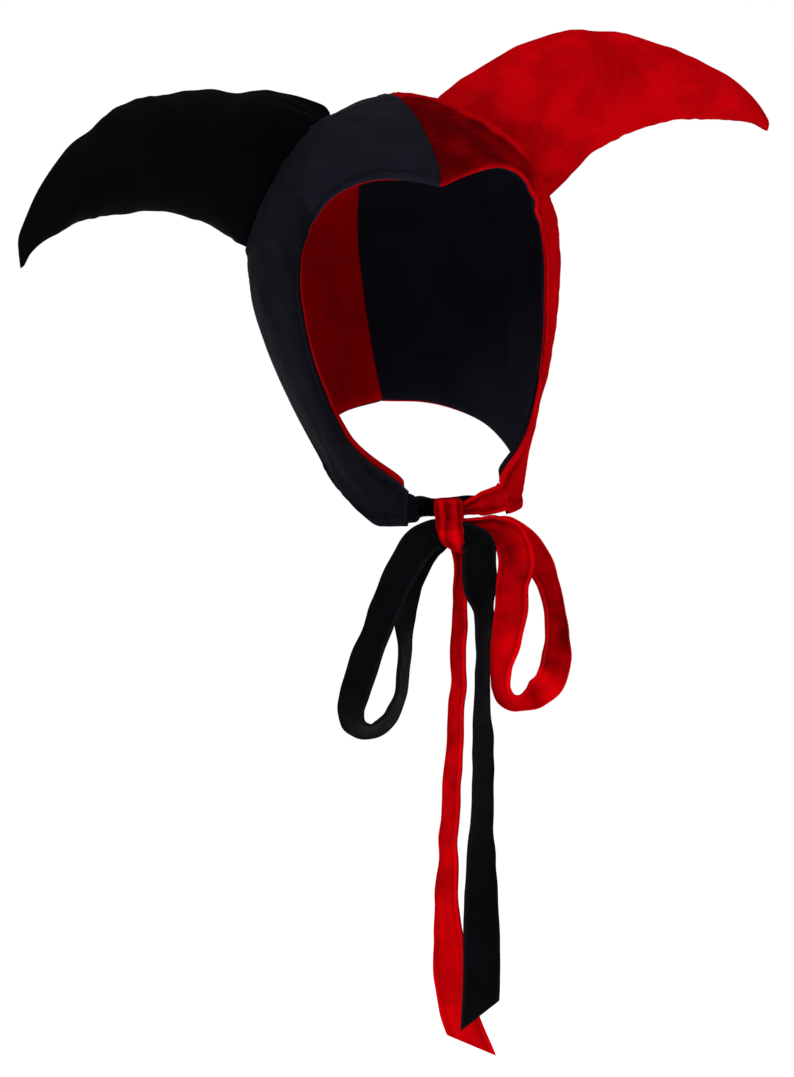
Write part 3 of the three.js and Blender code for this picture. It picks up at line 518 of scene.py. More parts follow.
def hornShape(color):
    s = hornSizes
    angle = (np.arange(s["around"]) / s["around"] * 2 * math.pi)[None, :]
    share = (np.linspace(0, 1, s["along"] + 1) ** 1.05)[1:, None]
    p = hornRings(color, share, angle, s["slim"])
    ray = p - hoodHeart
    far = np.linalg.norm(ray, axis=-1)
    short = np.linalg.norm(onHood(ray) - hoodHeart, axis=-1) + s["seatGap"] + 30 * share ** 1.1 - far
    p = p + ray / far[..., None] * np.maximum(short, 0)[..., None]
    base = hornRings(color, np.zeros((1, 1)), angle, 1.0)[0]
    centre = base.mean(0)
    steps = (np.arange(1, s["seat"] + 1) / s["seat"])[:, None, None]
    seat = seatOn(centre + (base - centre) * steps, s["seatGap"])
    pole = seatOn(centre[None], s["seatGap"])[0]
    return seat, p, pole, angle, share


hornSeatLines = {color: hornShape(color)[0][-1] for color in hornTables}


def panelFine(grid, color):
    # rolled rim with its sewn valley and puckers, centre seam, temple tuck, ridge round the horn and soft wrinkles
    h = hood
    rim, run, seam, flap, neck = (grid[k] for k in ("rim", "run", "seam", "flap", "neck"))
    seed = 3 if color == "black" else 11
    ripple = np.sin(run / 1.35 + 1.6 * softNoise(run, rim, 22, seed))
    fine = 0.45 * bell(rim - 2.6, 1.8) - 0.8 * bell(rim - h["rimValley"], 1.1)
    fine += h["rimPucker"] * ripple * bell(rim - h["rimValley"], 3.6)
    across = np.sin(grid["rim"] / 1.5 + 1.8 * softNoise(run, rim, 20, seed + 1))
    fine += -h["seamDepth"] * bell(seam, 1.5) + 0.35 * bell(seam - 3.2, 1.6) + 0.22 * across * bell(seam - 2, 3.4)
    fine += 0.4 * bell(neck - 3, 2) - 0.7 * bell(neck - 7, 1.4)
    fine += 0.3 * np.sin(run / 1.9 + 2 * softNoise(run, rim, 25, seed + 2)) * bell(neck - 7, 4)
    line = hornSeatLines[color]
    away = np.full(rim.shape, 1e3)
    for k in range(0, len(line), 2):
        away = np.minimum(away, np.linalg.norm(grid["point"] - line[k], axis=-1))
    fine += h["hornRidge"] * bell(away - 2.2, 2.4) * (1 + 0.3 * np.sin(away / 2 + 2 * softNoise(run, rim, 9, seed + 3)))
    band = rim - readColumn(bandSeams[color], "wide", grid["along"])
    gathers = np.sin(run / 1.5 + 2 * softNoise(run, rim, 16, seed + 6)) * bell(grid["along"] - 0.29, 0.09)
    fine += (h["bandRidge"] * (1.0 if color == "red" else 0.4) * bell(band + 0.8, 2.0) - 0.9 * bell(band - 3.2, 2.4)
             + 0.5 * gathers * bell(band + 4, 6)
             + 0.7 * np.clip(band / 8, 0, 1) * np.exp(-np.maximum(band, 0) / 30))
    wrinkle = softNoise(run, rim, 34, seed + 4) + 0.6 * softNoise(run, rim, 15, seed + 5)
    fine += 0.34 * wrinkle * np.clip(rim / 12, 0, 1) * np.clip(seam / 8, 0, 1)
    return fine


def tuckLine(across):
    return 0.262 + 0.05 * np.tanh(across / 0.12)


def templeTuck(grid, amount):
    # the brow band laid over the side strip: a step across a short line, fading on both sides
    along, across, rim = grid["along"], grid["across"], grid["rim"]
    line = tuckLine(across) + 0.008 * np.sin(rim / 6)
    s = (along - line) * hood["rimLength"]
    window = np.clip(1 - rim / 80, 0, 1)
    step = np.where(s < 0, 1.1 * np.exp(np.minimum(s, 0) / 10), -0.9 * np.exp(-np.maximum(s, 0) / 7))
    return amount * window * step * np.tanh(np.abs(s) / 0.8)


def makePanel(name, color, side, material, slot):
    grid, h = panelGrid, hood
    strength = h["foldStrength"][color]
    p, n = grid["point"], grid["normal"]
    p = p + n * (grid["fold"] * strength)[..., None]
    p = np.concatenate([np.maximum(p[..., :1], 0) + 0.05, p[..., 1:]], -1)
    half = h["panel"] / 2
    round_ = edgeRound(grid["rim"], half) * edgeRound(grid["neck"], half) * edgeRound(grid["flap"], half)
    fine = panelFine(grid, color) + templeTuck(grid, 1.0 if color == "black" else 0.45)
    fade = np.clip(grid["flap"] / 3, 0, 1) * np.clip(np.minimum(grid["rim"], grid["neck"]) / 1.2, 0.15, 1)
    middle = p - n * half
    outer = middle + n * (half * round_ + fine * fade)[..., None]
    inner = middle - n * (half * round_)[..., None]
    loops = np.concatenate([outer, inner[:, ::-1]], 1)
    loops = lean(loops * np.array([side, 1, 1]))
    napAndPaintedLight = napAndPaintedLightOf(grid, color)
    both = lambda f: np.concatenate([f, f[:, ::-1]], 1)
    edge = np.minimum(np.minimum(grid["rim"], grid["neck"]), grid["flap"])
    fields = {"edge": both(edge) * 0.001, "run": both(grid["run"]) * 0.001, "napAndPaintedLight": both(napAndPaintedLight)}
    return foldedMesh(name, loops, fields, material)


def napAndPaintedLightOf(grid, color):
    # painted light and shade on the pile, with a little random brushing: on the red half dark over the brow band, light
    # past its seam and down the strip
    along, rim, run = grid["along"], grid["rim"], grid["run"]
    band = rim - readColumn(bandSeams[color], "wide", along)
    strip = np.clip((along - 0.235) / 0.07, 0, 1)
    if color == "red":
        past = np.clip((band + 2.0) / 2.5, 0, 1)
        # painted shade over the brow band, lightening away from the centre seam, with a painted highlight along the rim
        # edge
        brow = 0.03 + 0.16 * np.clip(along / 0.2, 0, 1) ** 2 + 0.4 * bell(rim - 1.2, 1.6)
        brow = brow + 0.05 * softNoise(run * 0.35, rim * 2.2, 11, 23)
        # past the seam: painted shade towards the top, painted shade in the sewn valley and a painted highlight on the
        # rolled edge
        light = 0.52 + 0.26 * np.clip(along / 0.2, 0, 1) - 0.30 * bell(rim - 6, 2.2) + 0.2 * bell(rim - 2, 2)
        napAndPaintedLight = brow + (light - brow) * np.maximum(past, strip)
        # painted highlight along the ridge of the band seam
        napAndPaintedLight = napAndPaintedLight + 0.35 * bell(band + 0.6, 1.2) * (1 - strip)
    else:
        # painted shade: the strip darker towards the flap and in the sewn valley, with a painted highlight on the
        # rolled edge
        napAndPaintedLight = 0.78 - 0.62 * strip * np.clip((along - 0.35) / 0.3, 0, 1) - 0.2 * bell(rim - 6, 2.2) + 0.1 * bell(rim - 2, 2)
        # painted shade on the strip near the rim
        napAndPaintedLight = napAndPaintedLight - 0.38 * strip * bell(along - 0.42, 0.16) * bell(np.maximum(rim - 8, 0), 12)
        # painted shadow below the tuck line, under the band laid over the strip
        below = (along - tuckLine(grid["across"])) * hood["rimLength"]
        napAndPaintedLight = napAndPaintedLight - 0.60 * np.where(below > 0, np.exp(-np.maximum(below, 0) / 12), 0) * np.clip(1 - rim / 80, 0, 1)
        # painted shade along the face rim down the strip
        napAndPaintedLight = napAndPaintedLight - 0.55 * bell(rim, 9) * np.clip((along - 0.26) / 0.06, 0, 1)
        # painted shade on the band away from the rim, towards the horn
        napAndPaintedLight = napAndPaintedLight - 0.40 * np.clip((rim - 28) / 30, 0, 1) * np.clip((along - 0.08) / 0.15, 0, 1)
    return np.clip(napAndPaintedLight + 0.10 * softNoise(run, rim, 30, 21), 0, 1)


def makeLining(name, color, side, material, slot):
    grid, h = liningGrid, hood
    strength = h["foldStrength"][color]
    p, n = grid["point"], grid["normal"]
    p = p + n * (grid["fold"] * strength)[..., None]
    outward = unit(p[:, :1] - p[:, 3:4])
    drawn = np.clip((grid["along"] - h["peekEnd"][color]) / 0.06, 0, 1)
    peek = h["peek"] * (0.55 + 0.45 * softNoise(grid["run"], 0 * grid["rim"], 28, 31))
    back = 1.0 + 2.2 * np.clip((grid["along"] - 0.6) / 0.2, 0, 1)
    peek = (peek * (1 - drawn) - back * drawn) * bell(grid["rim"], 5)
    p = p + outward * peek[..., None]
    beside = np.maximum(p[..., :1], 0)
    p = np.concatenate([beside + 0.05 + h["liningSeam"][color] * bell(beside, 4), p[..., 1:]], -1)
    half = h["lining"] / 2
    round_ = edgeRound(grid["rim"], half) * edgeRound(grid["neck"], half) * edgeRound(grid["flap"], half)
    middle = p - n * (h["panel"] + h["gap"] + half)
    wrinkle = 0.5 * (softNoise(grid["run"], grid["rim"], 40, 41) + 1) * np.clip(grid["rim"] / 15, 0, 1)
    outer = middle + n * (half * round_)[..., None]
    inner = middle - n * (half * round_ + 0.6 * wrinkle * round_)[..., None]
    loops = lean(np.concatenate([outer, inner[:, ::-1]], 1) * np.array([side, 1, 1]))
    both = lambda f: np.concatenate([f, f[:, ::-1]], 1)
    return foldedMesh(name, loops, {"edge": both(grid["rim"]) * 0.001, "run": both(grid["run"]) * 0.001,
                                    "napAndPaintedLight": both(0.75 + 0.15 * softNoise(grid["run"], grid["rim"], 45, 43))}, material)


for name, color, side, make, material, slot in [
        ("blackHoodPanel", "black", -1, makePanel, "blackHood", "black_velvet"),
        ("redHoodPanel", "red", 1, makePanel, "redHood", "red_velvet"),
        ("redLining", "black", -1, makeLining, "redLining", "red_velvet"),
        ("blackLining", "red", 1, makeLining, "blackLining", "black_velvet")]:
    piece = make(name, color, side, materials[material], slot)
    node = {"blackHoodPanel": "hood_panel_black", "redHoodPanel": "hood_panel_red",
            "redLining": "lining_red", "blackLining": "lining_black"}[name]
    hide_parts(node)
    print(name, "made")


# Horns, blown up by a short cloth simulation between their sewn edges

def inflate(piece, pins, s):
    # pressure swells the cloth while the base ring, the tip and the two seams are held
    group = piece.vertex_groups.new(name="held")
    for weight in (1.0, 0.6, 0.25):
        group.add(np.nonzero(pins == weight)[0].tolist(), weight, "REPLACE")
    cloth = piece.modifiers.new("stuffing", "CLOTH").settings
    cloth.vertex_group_mass = "held"
    cloth.quality = 6
    cloth.mass = 0.2
    cloth.tension_stiffness = cloth.compression_stiffness = 18
    cloth.shear_stiffness = 8
    cloth.bending_stiffness = 0.25
    cloth.use_pressure = True
    cloth.uniform_pressure_force = s["pressure"]
    cloth.effector_weights.gravity = 0
    start = np.zeros(len(piece.data.vertices) * 3)
    piece.data.vertices.foreach_get("co", start)
    scene = bpy.context.scene
    for step in range(1, 21):
        scene.frame_set(step)
    depsgraph = bpy.context.evaluated_depsgraph_get()
    blown = np.zeros_like(start)
    piece.evaluated_get(depsgraph).data.vertices.foreach_get("co", blown)
    piece.modifiers.clear()
    piece.vertex_groups.clear()
    scene.frame_set(1)
    move = (blown - start).reshape(-1, 3)
    far = np.linalg.norm(move, axis=1, keepdims=True)
    limit = s["cap"] * 0.001
    move *= limit * np.tanh(far / limit) / np.maximum(far, 1e-9)
    piece.data.vertices.foreach_set("co", (start.reshape(-1, 3) + move).ravel())
    piece.data.update()
    print(piece.name, "stuffed, moved up to", round(float(far.max()) * 1000, 1), "mm")


def makeHorn(name, color, side, material):
    s = hornSizes
    seat, body, pole, angle, share = hornShape(color)
    seed = 51 if color == "black" else 61
    rings = np.concatenate([seat, body])
    n = gridNormals(rings, True)
    middle = rings.mean(1, keepdims=True)
    n = n * np.sign(np.sum(n * (rings - middle), -1, keepdims=True).mean())
    table = hornTables[color]
    half = readColumn(table, "half", table["rows"][0][0] + (table["rows"][-1][0] - table["rows"][0][0]) * share) * s["reach"]
    toSeam = np.abs(np.cos(angle)) * half * 1.2  # about the distance over the cloth to the nearer seam
    run = share * 165
    gather = np.sin(run / 1.9 + 2.6 * softNoise(run, 10 * np.sin(angle), 30, seed))
    gather = gather * np.clip(0.5 + 0.7 * softNoise(run, 30 * np.sin(angle), 60, seed + 9), 0, 1.2)
    fade = np.clip(half / 14, 0.15, 1)
    fine = (-s["seamDepth"] * bell(toSeam, 1.6) + s["seamPucker"] * gather * bell(toSeam - 4.5, 4)) * fade
    fine += s["outline"] * softNoise(run, 40 * np.sin(angle), 24, seed + 3) * bell(toSeam, 6) * fade
    fine += 0.5 * softNoise(run, toSeam * np.sign(np.cos(angle)), 30, seed + 1) * fade
    fine += 0.7 * np.sin(angle * 17 + 2 * np.sin(angle * 3)) * bell(share, 0.13)
    fine = np.concatenate([np.zeros((s["seat"], s["around"])), fine])
    rings = rings + n * fine[..., None]
    tip = hornRings(color, np.ones((1, 1)), np.array([[0.0]]), 1.0)[0, 0] + np.array([0.9, 0, -2.6])
    place = lambda p: lean(p * np.array([side, 1, 1]))
    rows = s["seat"] + len(share)
    edge = np.concatenate([np.full((s["seat"], s["around"]), 20.0), toSeam + 0 * run])
    runs = np.concatenate([np.zeros((s["seat"], s["around"])), run + 0 * toSeam])
    napAndPaintedLight = np.concatenate([np.full((s["seat"], s["around"]), 0.6), hornNapAndPaintedShade(color, share, angle, run, toSeam, seed)])
    piece = ringedMesh(name, place(rings), [place(pole), place(tip)],
                       {"edge": edge * 0.001, "run": runs * 0.001, "napAndPaintedLight": napAndPaintedLight}, material)
    pins = np.zeros((rows, s["around"]))
    pins[:, [0, s["around"] // 2]] = 0.0
    quarter = s["around"] // 4
    pins[:, [quarter, 3 * quarter]] = 0.6
    pins[:, [quarter - 1, quarter + 1, 3 * quarter - 1, 3 * quarter + 1]] = 0.25
    pins[:s["seat"] + 1] = 1.0
    pins[-4:] = 1.0
    inflate(piece, np.concatenate([pins.ravel(), [1.0, 1.0]]), s)
    smooth = piece.modifiers.new("smooth", "SUBSURF")
    smooth.levels = smooth.render_levels = 1
    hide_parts("horn_" + color)
    return piece


def hornNapAndPaintedShade(color, share, angle, run, toSeam, seed):
    # broad brushed strokes, with painted shade along the upper and lower seams and in the hollow at the base
    stroke = softNoise(run * 0.6, toSeam * np.sign(np.cos(angle)), 55, seed + 7)
    napAndPaintedLight = 0.84 + 0.14 * stroke - 0.22 * bell(toSeam, 4) - 0.30 * bell(share, 0.16)
    return np.clip(napAndPaintedLight, 0, 1)


makeHorn("blackHorn", "black", -1, materials["blackHorn"])
makeHorn("redHorn", "red", 1, materials["redHorn"])
print("horns made")


# Bow, ties and tails: ribbons carried along lines drawn in the bow's own plane

bow = {
    "width": 21.0, "thick": 2.0, "turn": 16.0, "tailDrop": 275.0, "loopDrop": 110.0, "tieSpan": 30.0,
    "knotBelow": 13.7, "knotAside": -3.5, "knotBefore": 12.5, "tieOut": 1.1,
    "knotAcross": 7.9, "knotToward": 9.0, "knotUp": 16.2,
    "edgeRidge": 0.30, "pleat": 0.85, "crumple": 0.55, "columns": 19,
}
bowTurn = math.radians(bow["turn"])
bowRight = np.array([math.cos(bowTurn), -math.sin(bowTurn), 0])
bowToward = np.array([-math.sin(bowTurn), -math.cos(bowTurn), 0])


def flapPoint(side, along, across):
    p, n = hoodFace(np.array([along]), np.array([across]))
    sides = np.array([side, 1, 1])
    return p[0] * sides, n[0] * sides


flapMiddle = (lean(flapPoint(-1, 1.0, 0.5)[0]) + lean(flapPoint(1, 1.0, 0.5)[0])) / 2
knotCentre = flapMiddle + np.array([0, 0, -bow["knotBelow"]]) + bowRight * bow["knotAside"] + bowToward * bow["knotBefore"]
bowLines = {  # across, up and toward in shares of a length, share of the flat width, turn away from the viewer
    "tailBlack": [
        [0.011, -0.014, 0.016, 0.62, 0], [0.036, -0.018, 0.020, 0.70, 4], [0.058, -0.036, 0.022, 0.80, 5],
        [0.057, -0.073, 0.020, 0.90, -10], [0.060, -0.116, 0.016, 1.00, -30], [0.067, -0.168, 0.010, 1.00, -62],
        [0.066, -0.236, 0.005, 1.00, -68], [0.064, -0.309, 0.000, 1.00, -69], [0.065, -0.418, 0.000, 1.00, -60],
        [0.065, -0.498, 0.000, 1.00, -58], [0.062, -0.582, 0.002, 1.00, -55], [0.061, -0.658, 0.005, 1.00, -42],
        [0.061, -0.735, 0.011, 1.00, -28], [0.062, -0.815, 0.015, 1.00, -16], [0.062, -0.891, 0.016, 1.00, -14],
        [0.059, -0.961, 0.016, 1.00, -14]],
    "tailRed": [
        [0.014, -0.033, -0.009, 0.40, 10], [0.024, -0.065, -0.011, 0.46, 25], [0.024, -0.102, -0.011, 0.64, 58],
        [0.021, -0.145, -0.011, 0.88, 69], [0.018, -0.222, -0.012, 1.00, 70], [0.016, -0.302, -0.015, 1.00, 71],
        [0.010, -0.429, -0.018, 1.00, 68], [0.005, -0.498, -0.020, 1.00, 65], [0.000, -0.578, -0.022, 1.00, 64],
        [-0.003, -0.658, -0.025, 1.00, 63], [-0.005, -0.735, -0.029, 1.00, 56], [-0.003, -0.815, -0.033, 1.00, 41],
        [0.004, -0.891, -0.035, 1.00, 24], [0.018, -0.958, -0.035, 1.00, 13], [0.043, -1.024, -0.035, 1.00, 8]],
    "loopBlack": [
        [-0.018, -0.034, 0.029, 0.78, 5], [-0.082, -0.038, 0.031, 0.82, 8], [-0.150, -0.079, 0.041, 0.90, 14],
        [-0.203, -0.150, 0.055, 0.95, 26], [-0.264, -0.268, 0.064, 1.00, 36], [-0.318, -0.395, 0.064, 1.00, 40],
        [-0.373, -0.541, 0.064, 1.00, 44], [-0.424, -0.673, 0.055, 1.00, 37], [-0.464, -0.795, 0.045, 1.00, 42],
        [-0.489, -0.895, 0.027, 1.00, 48], [-0.468, -0.971, 0.000, 1.00, 56], [-0.412, -1.003, -0.032, 1.00, 66],
        [-0.345, -0.985, -0.059, 1.00, 67], [-0.288, -0.932, -0.077, 1.00, 71], [-0.250, -0.842, -0.091, 1.00, 75],
        [-0.230, -0.727, -0.091, 1.00, 75], [-0.221, -0.582, -0.082, 1.00, 72], [-0.222, -0.436, -0.073, 1.00, 59],
        [-0.209, -0.309, -0.064, 0.95, 45], [-0.173, -0.205, -0.050, 0.85, 32], [-0.123, -0.123, -0.038, 0.72, 15],
        [-0.073, -0.080, -0.031, 0.60, 8], [-0.018, -0.045, -0.029, 0.46, 5]],
    "loopRed": [
        [0.018, 0.000, 0.004, 0.46, 0], [0.082, 0.000, 0.004, 0.48, 3], [0.150, 0.000, 0.006, 0.54, 6],
        [0.220, -0.004, 0.016, 0.68, 8], [0.292, -0.052, 0.052, 0.92, 10], [0.326, -0.164, 0.086, 1.00, 20],
        [0.307, -0.286, 0.091, 1.00, 33], [0.299, -0.409, 0.091, 1.00, 33], [0.277, -0.555, 0.082, 1.00, 42],
        [0.248, -0.691, 0.073, 1.00, 60], [0.247, -0.786, 0.055, 1.00, 66], [0.285, -0.843, 0.027, 1.00, 68],
        [0.354, -0.852, -0.009, 1.00, 62], [0.432, -0.817, -0.036, 1.00, 40], [0.497, -0.752, -0.055, 1.00, 36],
        [0.526, -0.648, -0.064, 1.00, 39], [0.528, -0.532, -0.064, 1.00, 52], [0.516, -0.409, -0.064, 1.00, 58],
        [0.487, -0.286, -0.059, 1.00, 55], [0.440, -0.177, -0.055, 1.00, 46], [0.368, -0.080, -0.050, 0.92, 34],
        [0.288, -0.014, -0.045, 0.74, 18], [0.210, 0.004, -0.044, 0.54, 8], [0.141, 0.004, -0.042, 0.46, 5],
        [0.073, 0.004, -0.042, 0.44, 5], [0.018, 0.004, -0.042, 0.42, 0]],
    "tieBlack": [
        [-0.567, 0.378, -0.100, 0.57, 10], [-0.333, 0.367, -0.233, 0.48, 12], [-0.133, 0.378, -0.353, 0.46, 10],
        [0.100, 0.400, -0.385, 0.46, 8], [0.300, 0.425, -0.410, 0.46, 6], [0.500, 0.430, -0.420, 0.42, 4]],
    "tieRed": [
        [0.617, 0.440, -0.300, 0.66, -12], [0.450, 0.400, -0.170, 0.50, -8], [0.267, 0.345, -0.100, 0.36, -4],
        [0.100, 0.335, -0.090, 0.34, 0]],
}


bowPaintedLight = {  # painted light and shade along each ribbon, from share of the ribbon's length, to share of full light
    # each row lays painted highlights and painted shade along the ribbon; the tail and chin tie get painted shade where
    # they meet the knot
    "redLoop": [[0.00, 0.30], [0.09, 0.34], [0.13, 0.20], [0.20, 0.36], [0.25, 0.46], [0.33, 0.84], [0.40, 0.90], [0.46, 0.55],
                [0.515, 0.22], [0.55, 1.00], [0.585, 0.30], [0.66, 0.16], [0.78, 0.40], [0.88, 0.66], [0.93, 0.50], [1.00, 0.35]],
    "redTail": [[0.00, 0.25], [0.10, 0.45], [0.25, 0.60], [1.00, 0.62]],
    "redChinTie": [[0.00, 0.60], [0.60, 0.55], [1.00, 0.25]],
}


def bowPoint(across, up, toward):
    return (knotCentre + np.multiply.outer(across, bowRight) + np.multiply.outer(up, [0, 0, 1.0])
            + np.multiply.outer(toward, bowToward))


def bowStations(line, length):
    # centre, direction of the width, width and gathering share at each row
    rows = np.array(bowLines[line], float)
    flat = rows[:, :2]
    last = len(rows) - 1
    index = np.arange(last + 1)
    step = unit(flat[np.minimum(index + 1, last)] - flat[np.maximum(index - 1, 0)])
    turn = np.radians(rows[:, 4])
    wide = (np.multiply.outer(-step[:, 1] * np.cos(turn), bowRight) + np.multiply.outer(step[:, 0] * np.cos(turn), [0, 0, 1.0])
            + np.multiply.outer(np.sin(turn), bowToward))
    centre = bowPoint(rows[:, 0] * length, rows[:, 1] * length, rows[:, 2] * length)
    return {"centre": centre, "wide": wide, "width": bow["width"] * rows[:, 3], "gather": rows[:, 3]}


def tieStations(line, side, color):
    upper, mid, lower = (flapPoint(side, 1.0, k) for k in (0.0, 0.5, 1.0))
    before = flapPoint(side, 0.96, 0.5)[0]
    wide = upper[0] - lower[0]
    across = unit(wide)
    out = mid[0] - before
    out = unit(out - across * (out @ across))
    middle = mid[0] * 0.6 + (upper[0] + lower[0]) * 0.2 - mid[1] * hood["wall"] / 2 + out * (bow["tieOut"] - 2.0)
    rest = bowStations(line, bow["tieSpan"])
    leaned = lean(across)
    if rest["wide"][0] @ leaned < 0:
        rest["wide"] = -rest["wide"]
    size = np.linalg.norm(wide)
    return {"centre": np.concatenate([[lean(middle), lean(middle + out * 5.0)], rest["centre"]]),
            "wide": np.concatenate([[leaned, leaned], rest["wide"]]),
            "width": np.concatenate([[size * 0.86, size * 0.76], rest["width"]]),
            "gather": np.concatenate([[0.9, 0.8], rest["gather"]])}


def insideKnot(p):
    q = p - knotCentre
    return (np.abs(q @ bowRight / (bow["knotAcross"] - 3.4)) ** 3 + np.abs(q @ bowToward / (bow["knotToward"] - 1.0)) ** 3
            + np.abs(q[..., 2] / (bow["knotUp"] - 4.5)) ** 3) < 1


def ribbonSheet(name, stations, steps, cut, seed, material, node):
    # a smooth line through the stations carries a thin section whose edges are turned in and whose middle
    # gathers into pleats where the ribbon is pinched
    s = bow
    count = len(stations["centre"]) - 1
    t = np.linspace(0, count, steps * 4 + 1)
    knots = np.clip(np.floor(t).astype(int), 0, count - 1)
    u = (t - knots)[:, None]
    c = stations["centre"]
    p0, p1, p2, p3 = (c[np.clip(knots + k, 0, count)] for k in (-1, 0, 1, 2))
    centre = 0.5 * (2 * p1 + (p2 - p0) * u + (2 * p0 - 5 * p1 + 4 * p2 - p3) * u ** 2 + (3 * p1 - 3 * p2 + p3 - p0) * u ** 3)
    mix = u * u * (3 - 2 * u)
    read = lambda values: values[knots] + (values[knots + 1] - values[knots]) * (mix if values.ndim > 1 else mix[:, 0])
    wide, width, gather = read(stations["wide"]), read(stations["width"]), read(stations["gather"])
    kept = np.nonzero(~insideKnot(centre))[0]
    kept = np.arange(kept[0], kept[-1] + 1)
    centre, wide, width, gather = centre[kept], wide[kept], width[kept], gather[kept]
    run = np.concatenate([[0], np.cumsum(np.linalg.norm(np.diff(centre, axis=0), axis=1))])
    even = np.linspace(0, run[-1], steps)
    resample = lambda f: (np.stack([np.interp(even, run, f[:, k]) for k in range(3)], -1) if f.ndim > 1
                          else np.interp(even, run, f))
    centre, wide, width, gather, run = resample(centre), resample(wide), resample(width), resample(gather), even
    tangent = unit(np.gradient(centre, axis=0))
    wide = unit(wide - tangent * np.sum(tangent * wide, -1, keepdims=True))
    through = np.cross(tangent, wide)
    w = -np.cos(np.linspace(0, math.pi, s["columns"]))
    w = np.sign(w) * np.abs(w) ** 0.8
    inside = (1 - np.abs(w))[None, :] * width[:, None] / 2
    pinch = np.clip((1 - gather) / 0.5, 0, 1)[:, None]
    thick = s["thick"] / 2 * (1 - 0.12 * pinch)
    shell = thick * edgeRound(inside, 0.9) + s["edgeRidge"] * bell(inside - 1.5, 0.7)
    r, a = run[:, None], w[None, :] * width[:, None] / 2
    wave = s["pleat"] * pinch * np.cos(w[None, :] * 7.5 + 0.9 * softNoise(r, a, 40, seed))
    drape = (s["crumple"] * (0.55 + 0.6 * pinch) * softNoise(r, a * 0.5, 24, seed + 1)
             + 0.5 * bell(np.abs(w)[None, :] - 1, 0.4) * softNoise(r, 0 * a, 30, seed + 2))
    crease = -0.32 * pinch * np.abs(np.sin(r / 3.1 + 2 * softNoise(r, a, 18, seed + 3)))
    lift = wave + drape
    slant = np.clip((r - run[-1] + abs(cut) + 6) / (abs(cut) + 6), 0, 1) * w[None, :] * cut / 2 if cut else 0 * lift
    base = centre[:, None] + wide[:, None] * a[..., None] + tangent[:, None] * slant[..., None]
    end = np.minimum(edgeRound(run - run[0], 0.9), edgeRound(run[-1] - run, 0.9))[:, None]
    upper = base + through[:, None] * (lift + (shell + crease) * end)[..., None]
    lower = base + through[:, None] * (lift - shell * end)[..., None]
    loops = np.concatenate([upper, lower[:, ::-1]], 1)
    both = lambda f: np.concatenate([f, f[:, ::-1]], 1)
    # painted light and shade along the ribbon, from the table above
    light = np.array(bowPaintedLight.get(name, [[0, 0.62], [1, 0.62]]))
    light = np.interp(run / run[-1], light[:, 0], light[:, 1])[:, None]
    brushed = 0.12 * softNoise(r, a * 2.5, 34, seed + 4) + 0.10 * softNoise(r * 0.5, a * 0.25, 6, seed + 5)
    # painted highlight on the raised hem line and painted shade in the groove beside it
    hemHighlightAndShade = 0.30 * bell(inside - 1.0, 0.8) - 0.18 * bell(inside - 3.0, 0.8)
    # painted shade in the pleat valleys where the ribbon is pinched
    napAndPaintedLight = np.clip(light + brushed - 0.3 * pinch * (np.cos(w[None, :] * 7.5) < 0) + hemHighlightAndShade, 0, 1)
    fields = {"edge": both(inside) * 0.001, "run": both(r + 0 * a) * 0.001, "napAndPaintedLight": both(napAndPaintedLight)}
    piece = foldedMesh(name, loops, fields, material)
    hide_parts(node)
    print(name, "made,", round(run[-1]), "mm long")
    return piece


red, black = materials["redRibbon"], materials["blackRibbon"]
ribbonSheet("blackTail", bowStations("tailBlack", bow["tailDrop"]), 190, -17, 71, black, "bow_tail_black")
ribbonSheet("redTail", bowStations("tailRed", bow["tailDrop"]), 190, 20, 81, red, "bow_tail_red")
ribbonSheet("blackLoop", bowStations("loopBlack", bow["loopDrop"]), 210, 0, 91, black, "bow_loop_black")
ribbonSheet("redLoop", bowStations("loopRed", bow["loopDrop"]), 220, 0, 101, red, "bow_loop_red")
ribbonSheet("blackChinTie", tieStations("tieBlack", -1, "black"), 60, 0, 111, black, "chin_tie_black")
ribbonSheet("redChinTie", tieStations("tieRed", 1, "red"), 50, 0, 121, red, "chin_tie_red")


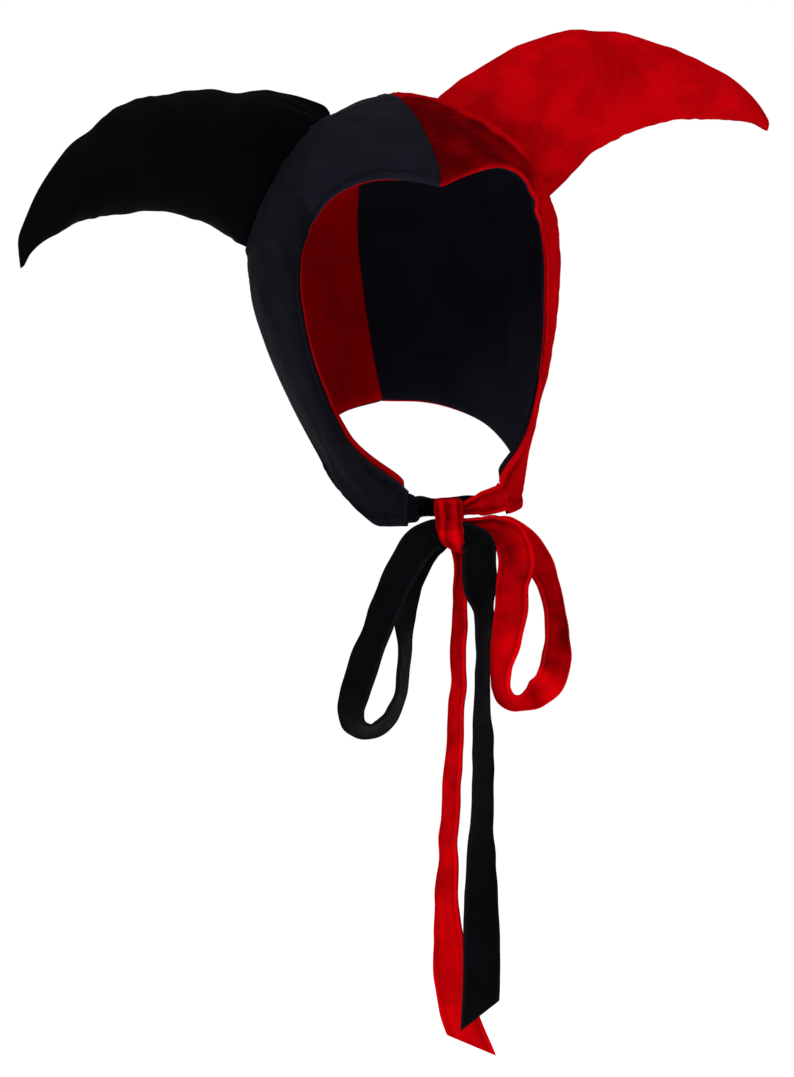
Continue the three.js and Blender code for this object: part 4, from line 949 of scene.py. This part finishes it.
def makeKnot(s):
    # a rounded wrap whose level sections are squared ovals, with lengthwise pleats that lean with it
    around, rows = 160, 72
    level = np.cos(np.linspace(0.02, math.pi - 0.02, rows))[:, None]
    angle = (np.arange(around) / around * 2 * math.pi)[None, :]
    wide = np.maximum(1 - np.abs(level) ** np.where(level > 0, 9.0, 5.0), 0) ** 0.2
    squared = lambda c: np.sign(c) * np.abs(c) ** 0.75
    wander = 0.7 * softNoise(level * 16, angle * 9, 34, 131)
    pleat = 1.15 * np.abs(np.sin(3.5 * angle + wander - 0.35 * level + 0.4)) ** 1.1 - 0.7
    pleat = pleat * np.clip(wide * 1.4 - 0.4, 0, 1) + 0.16 * softNoise(level * 16, angle * 9, 7, 132)
    across = squared(np.cos(angle)) * ((s["knotAcross"] + 0.2 * level) * wide + pleat * 0.22)
    toward = squared(np.sin(angle)) * (s["knotToward"] * (0.8 + 0.2 * wide) * wide + pleat)
    foot = lambda a: np.where(level > 0, level * s["knotUp"], level * (12.4 + 0.5 * a))
    rings = bowPoint(across + 1.1 * (1 - level) - 1.0, foot(across), toward)
    poles = [bowPoint(-1.0, s["knotUp"], 0.0), bowPoint(1.2, -12.8, 0.0)]
    # painted light and shade: lighter on the pleat crests and darker in their grooves, painted shade over the top, a
    # painted highlight band low on the knot and a faint one at the very top
    napAndPaintedLight = 0.26 + 0.46 * pleat + 0.42 * bell(level + 0.35, 0.3) + 0.2 * bell(level - 0.9, 0.12)
    napAndPaintedLight = np.clip(napAndPaintedLight + 0 * rings[..., 0], 0, 1)
    edge = (1 - np.abs(level)) * s["knotUp"] + 0 * napAndPaintedLight
    run = angle * 8 + 0 * napAndPaintedLight
    fields = {"edge": edge * 0.001, "run": run * 0.001, "napAndPaintedLight": napAndPaintedLight}
    piece = ringedMesh("bowKnot", rings, poles, fields, materials["redRibbon"])
    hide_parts("bow_knot_red")


makeKnot(bow)
print("bow made")


# Studio: white surroundings, a soft key from the upper left and a weak fill

studio = {"white": 0.45, "floor": -0.60, "floorSize": 3.2, "floorGlow": 0.6, "key": 30.0, "fill": 7.0, "top": 9.0}


def areaLight(name, place, aim, size, energy):
    data = bpy.data.lights.new(name, "AREA")
    data.shape = "SQUARE"
    data.size = size
    data.energy = energy
    light = bpy.data.objects.new(name, data)
    light.location = place
    light.rotation_euler = (Vector(aim) - Vector(place)).to_track_quat("-Z", "Y").to_euler()
    bpy.context.scene.collection.objects.link(light)


def makeStudio(s):
    world = bpy.data.worlds.new("studioWhite")
    bpy.context.scene.world = world
    world.use_nodes = True
    tree = world.node_tree
    tree.nodes.clear()
    seen = put(tree, "ShaderNodeBackground", {"Color": (1, 1, 1, 1), "Strength": 1.0}).outputs[0]
    cast = put(tree, "ShaderNodeBackground", {"Color": (1, 1, 1, 1), "Strength": s["white"]}).outputs[0]
    straight = put(tree, "ShaderNodeLightPath").outputs["Is Camera Ray"]
    both = put(tree, "ShaderNodeMixShader", {0: straight, 1: cast, 2: seen}).outputs[0]
    tree.links.new(both, put(tree, "ShaderNodeOutputWorld").inputs[0])
    size = s["floorSize"]
    bpy.ops.mesh.primitive_circle_add(vertices=96, radius=size, fill_type="NGON", location=(0, 0, s["floor"]))
    floor = bpy.context.object
    floor.name = "paleFloor"
    paint = bpy.data.materials.new("paleFloorPaint")
    paint.use_nodes = True
    shader = paint.node_tree.nodes["Principled BSDF"]
    shader.inputs["Base Color"].default_value = (0.93, 0.93, 0.93, 1)
    shader.inputs["Roughness"].default_value = 0.9
    shader.inputs["Emission Color"].default_value = (1, 1, 1, 1)
    shader.inputs["Emission Strength"].default_value = s["floorGlow"]
    shader.inputs["Specular IOR Level"].default_value = 0.1
    floor.data.materials.append(paint)
    middle = (0, 0, -0.2)
    areaLight("keyLight", (-1.3, -1.6, 1.1), middle, 0.9, s["key"])
    areaLight("fillLight", (1.6, -1.6, 0.2), middle, 1.2, s["fill"])
    areaLight("topLight", (0.2, 0.3, 1.6), middle, 1.0, s["top"])
    bpy.context.scene.view_settings.view_transform = "Standard"


makeStudio(studio)
print("studio made")
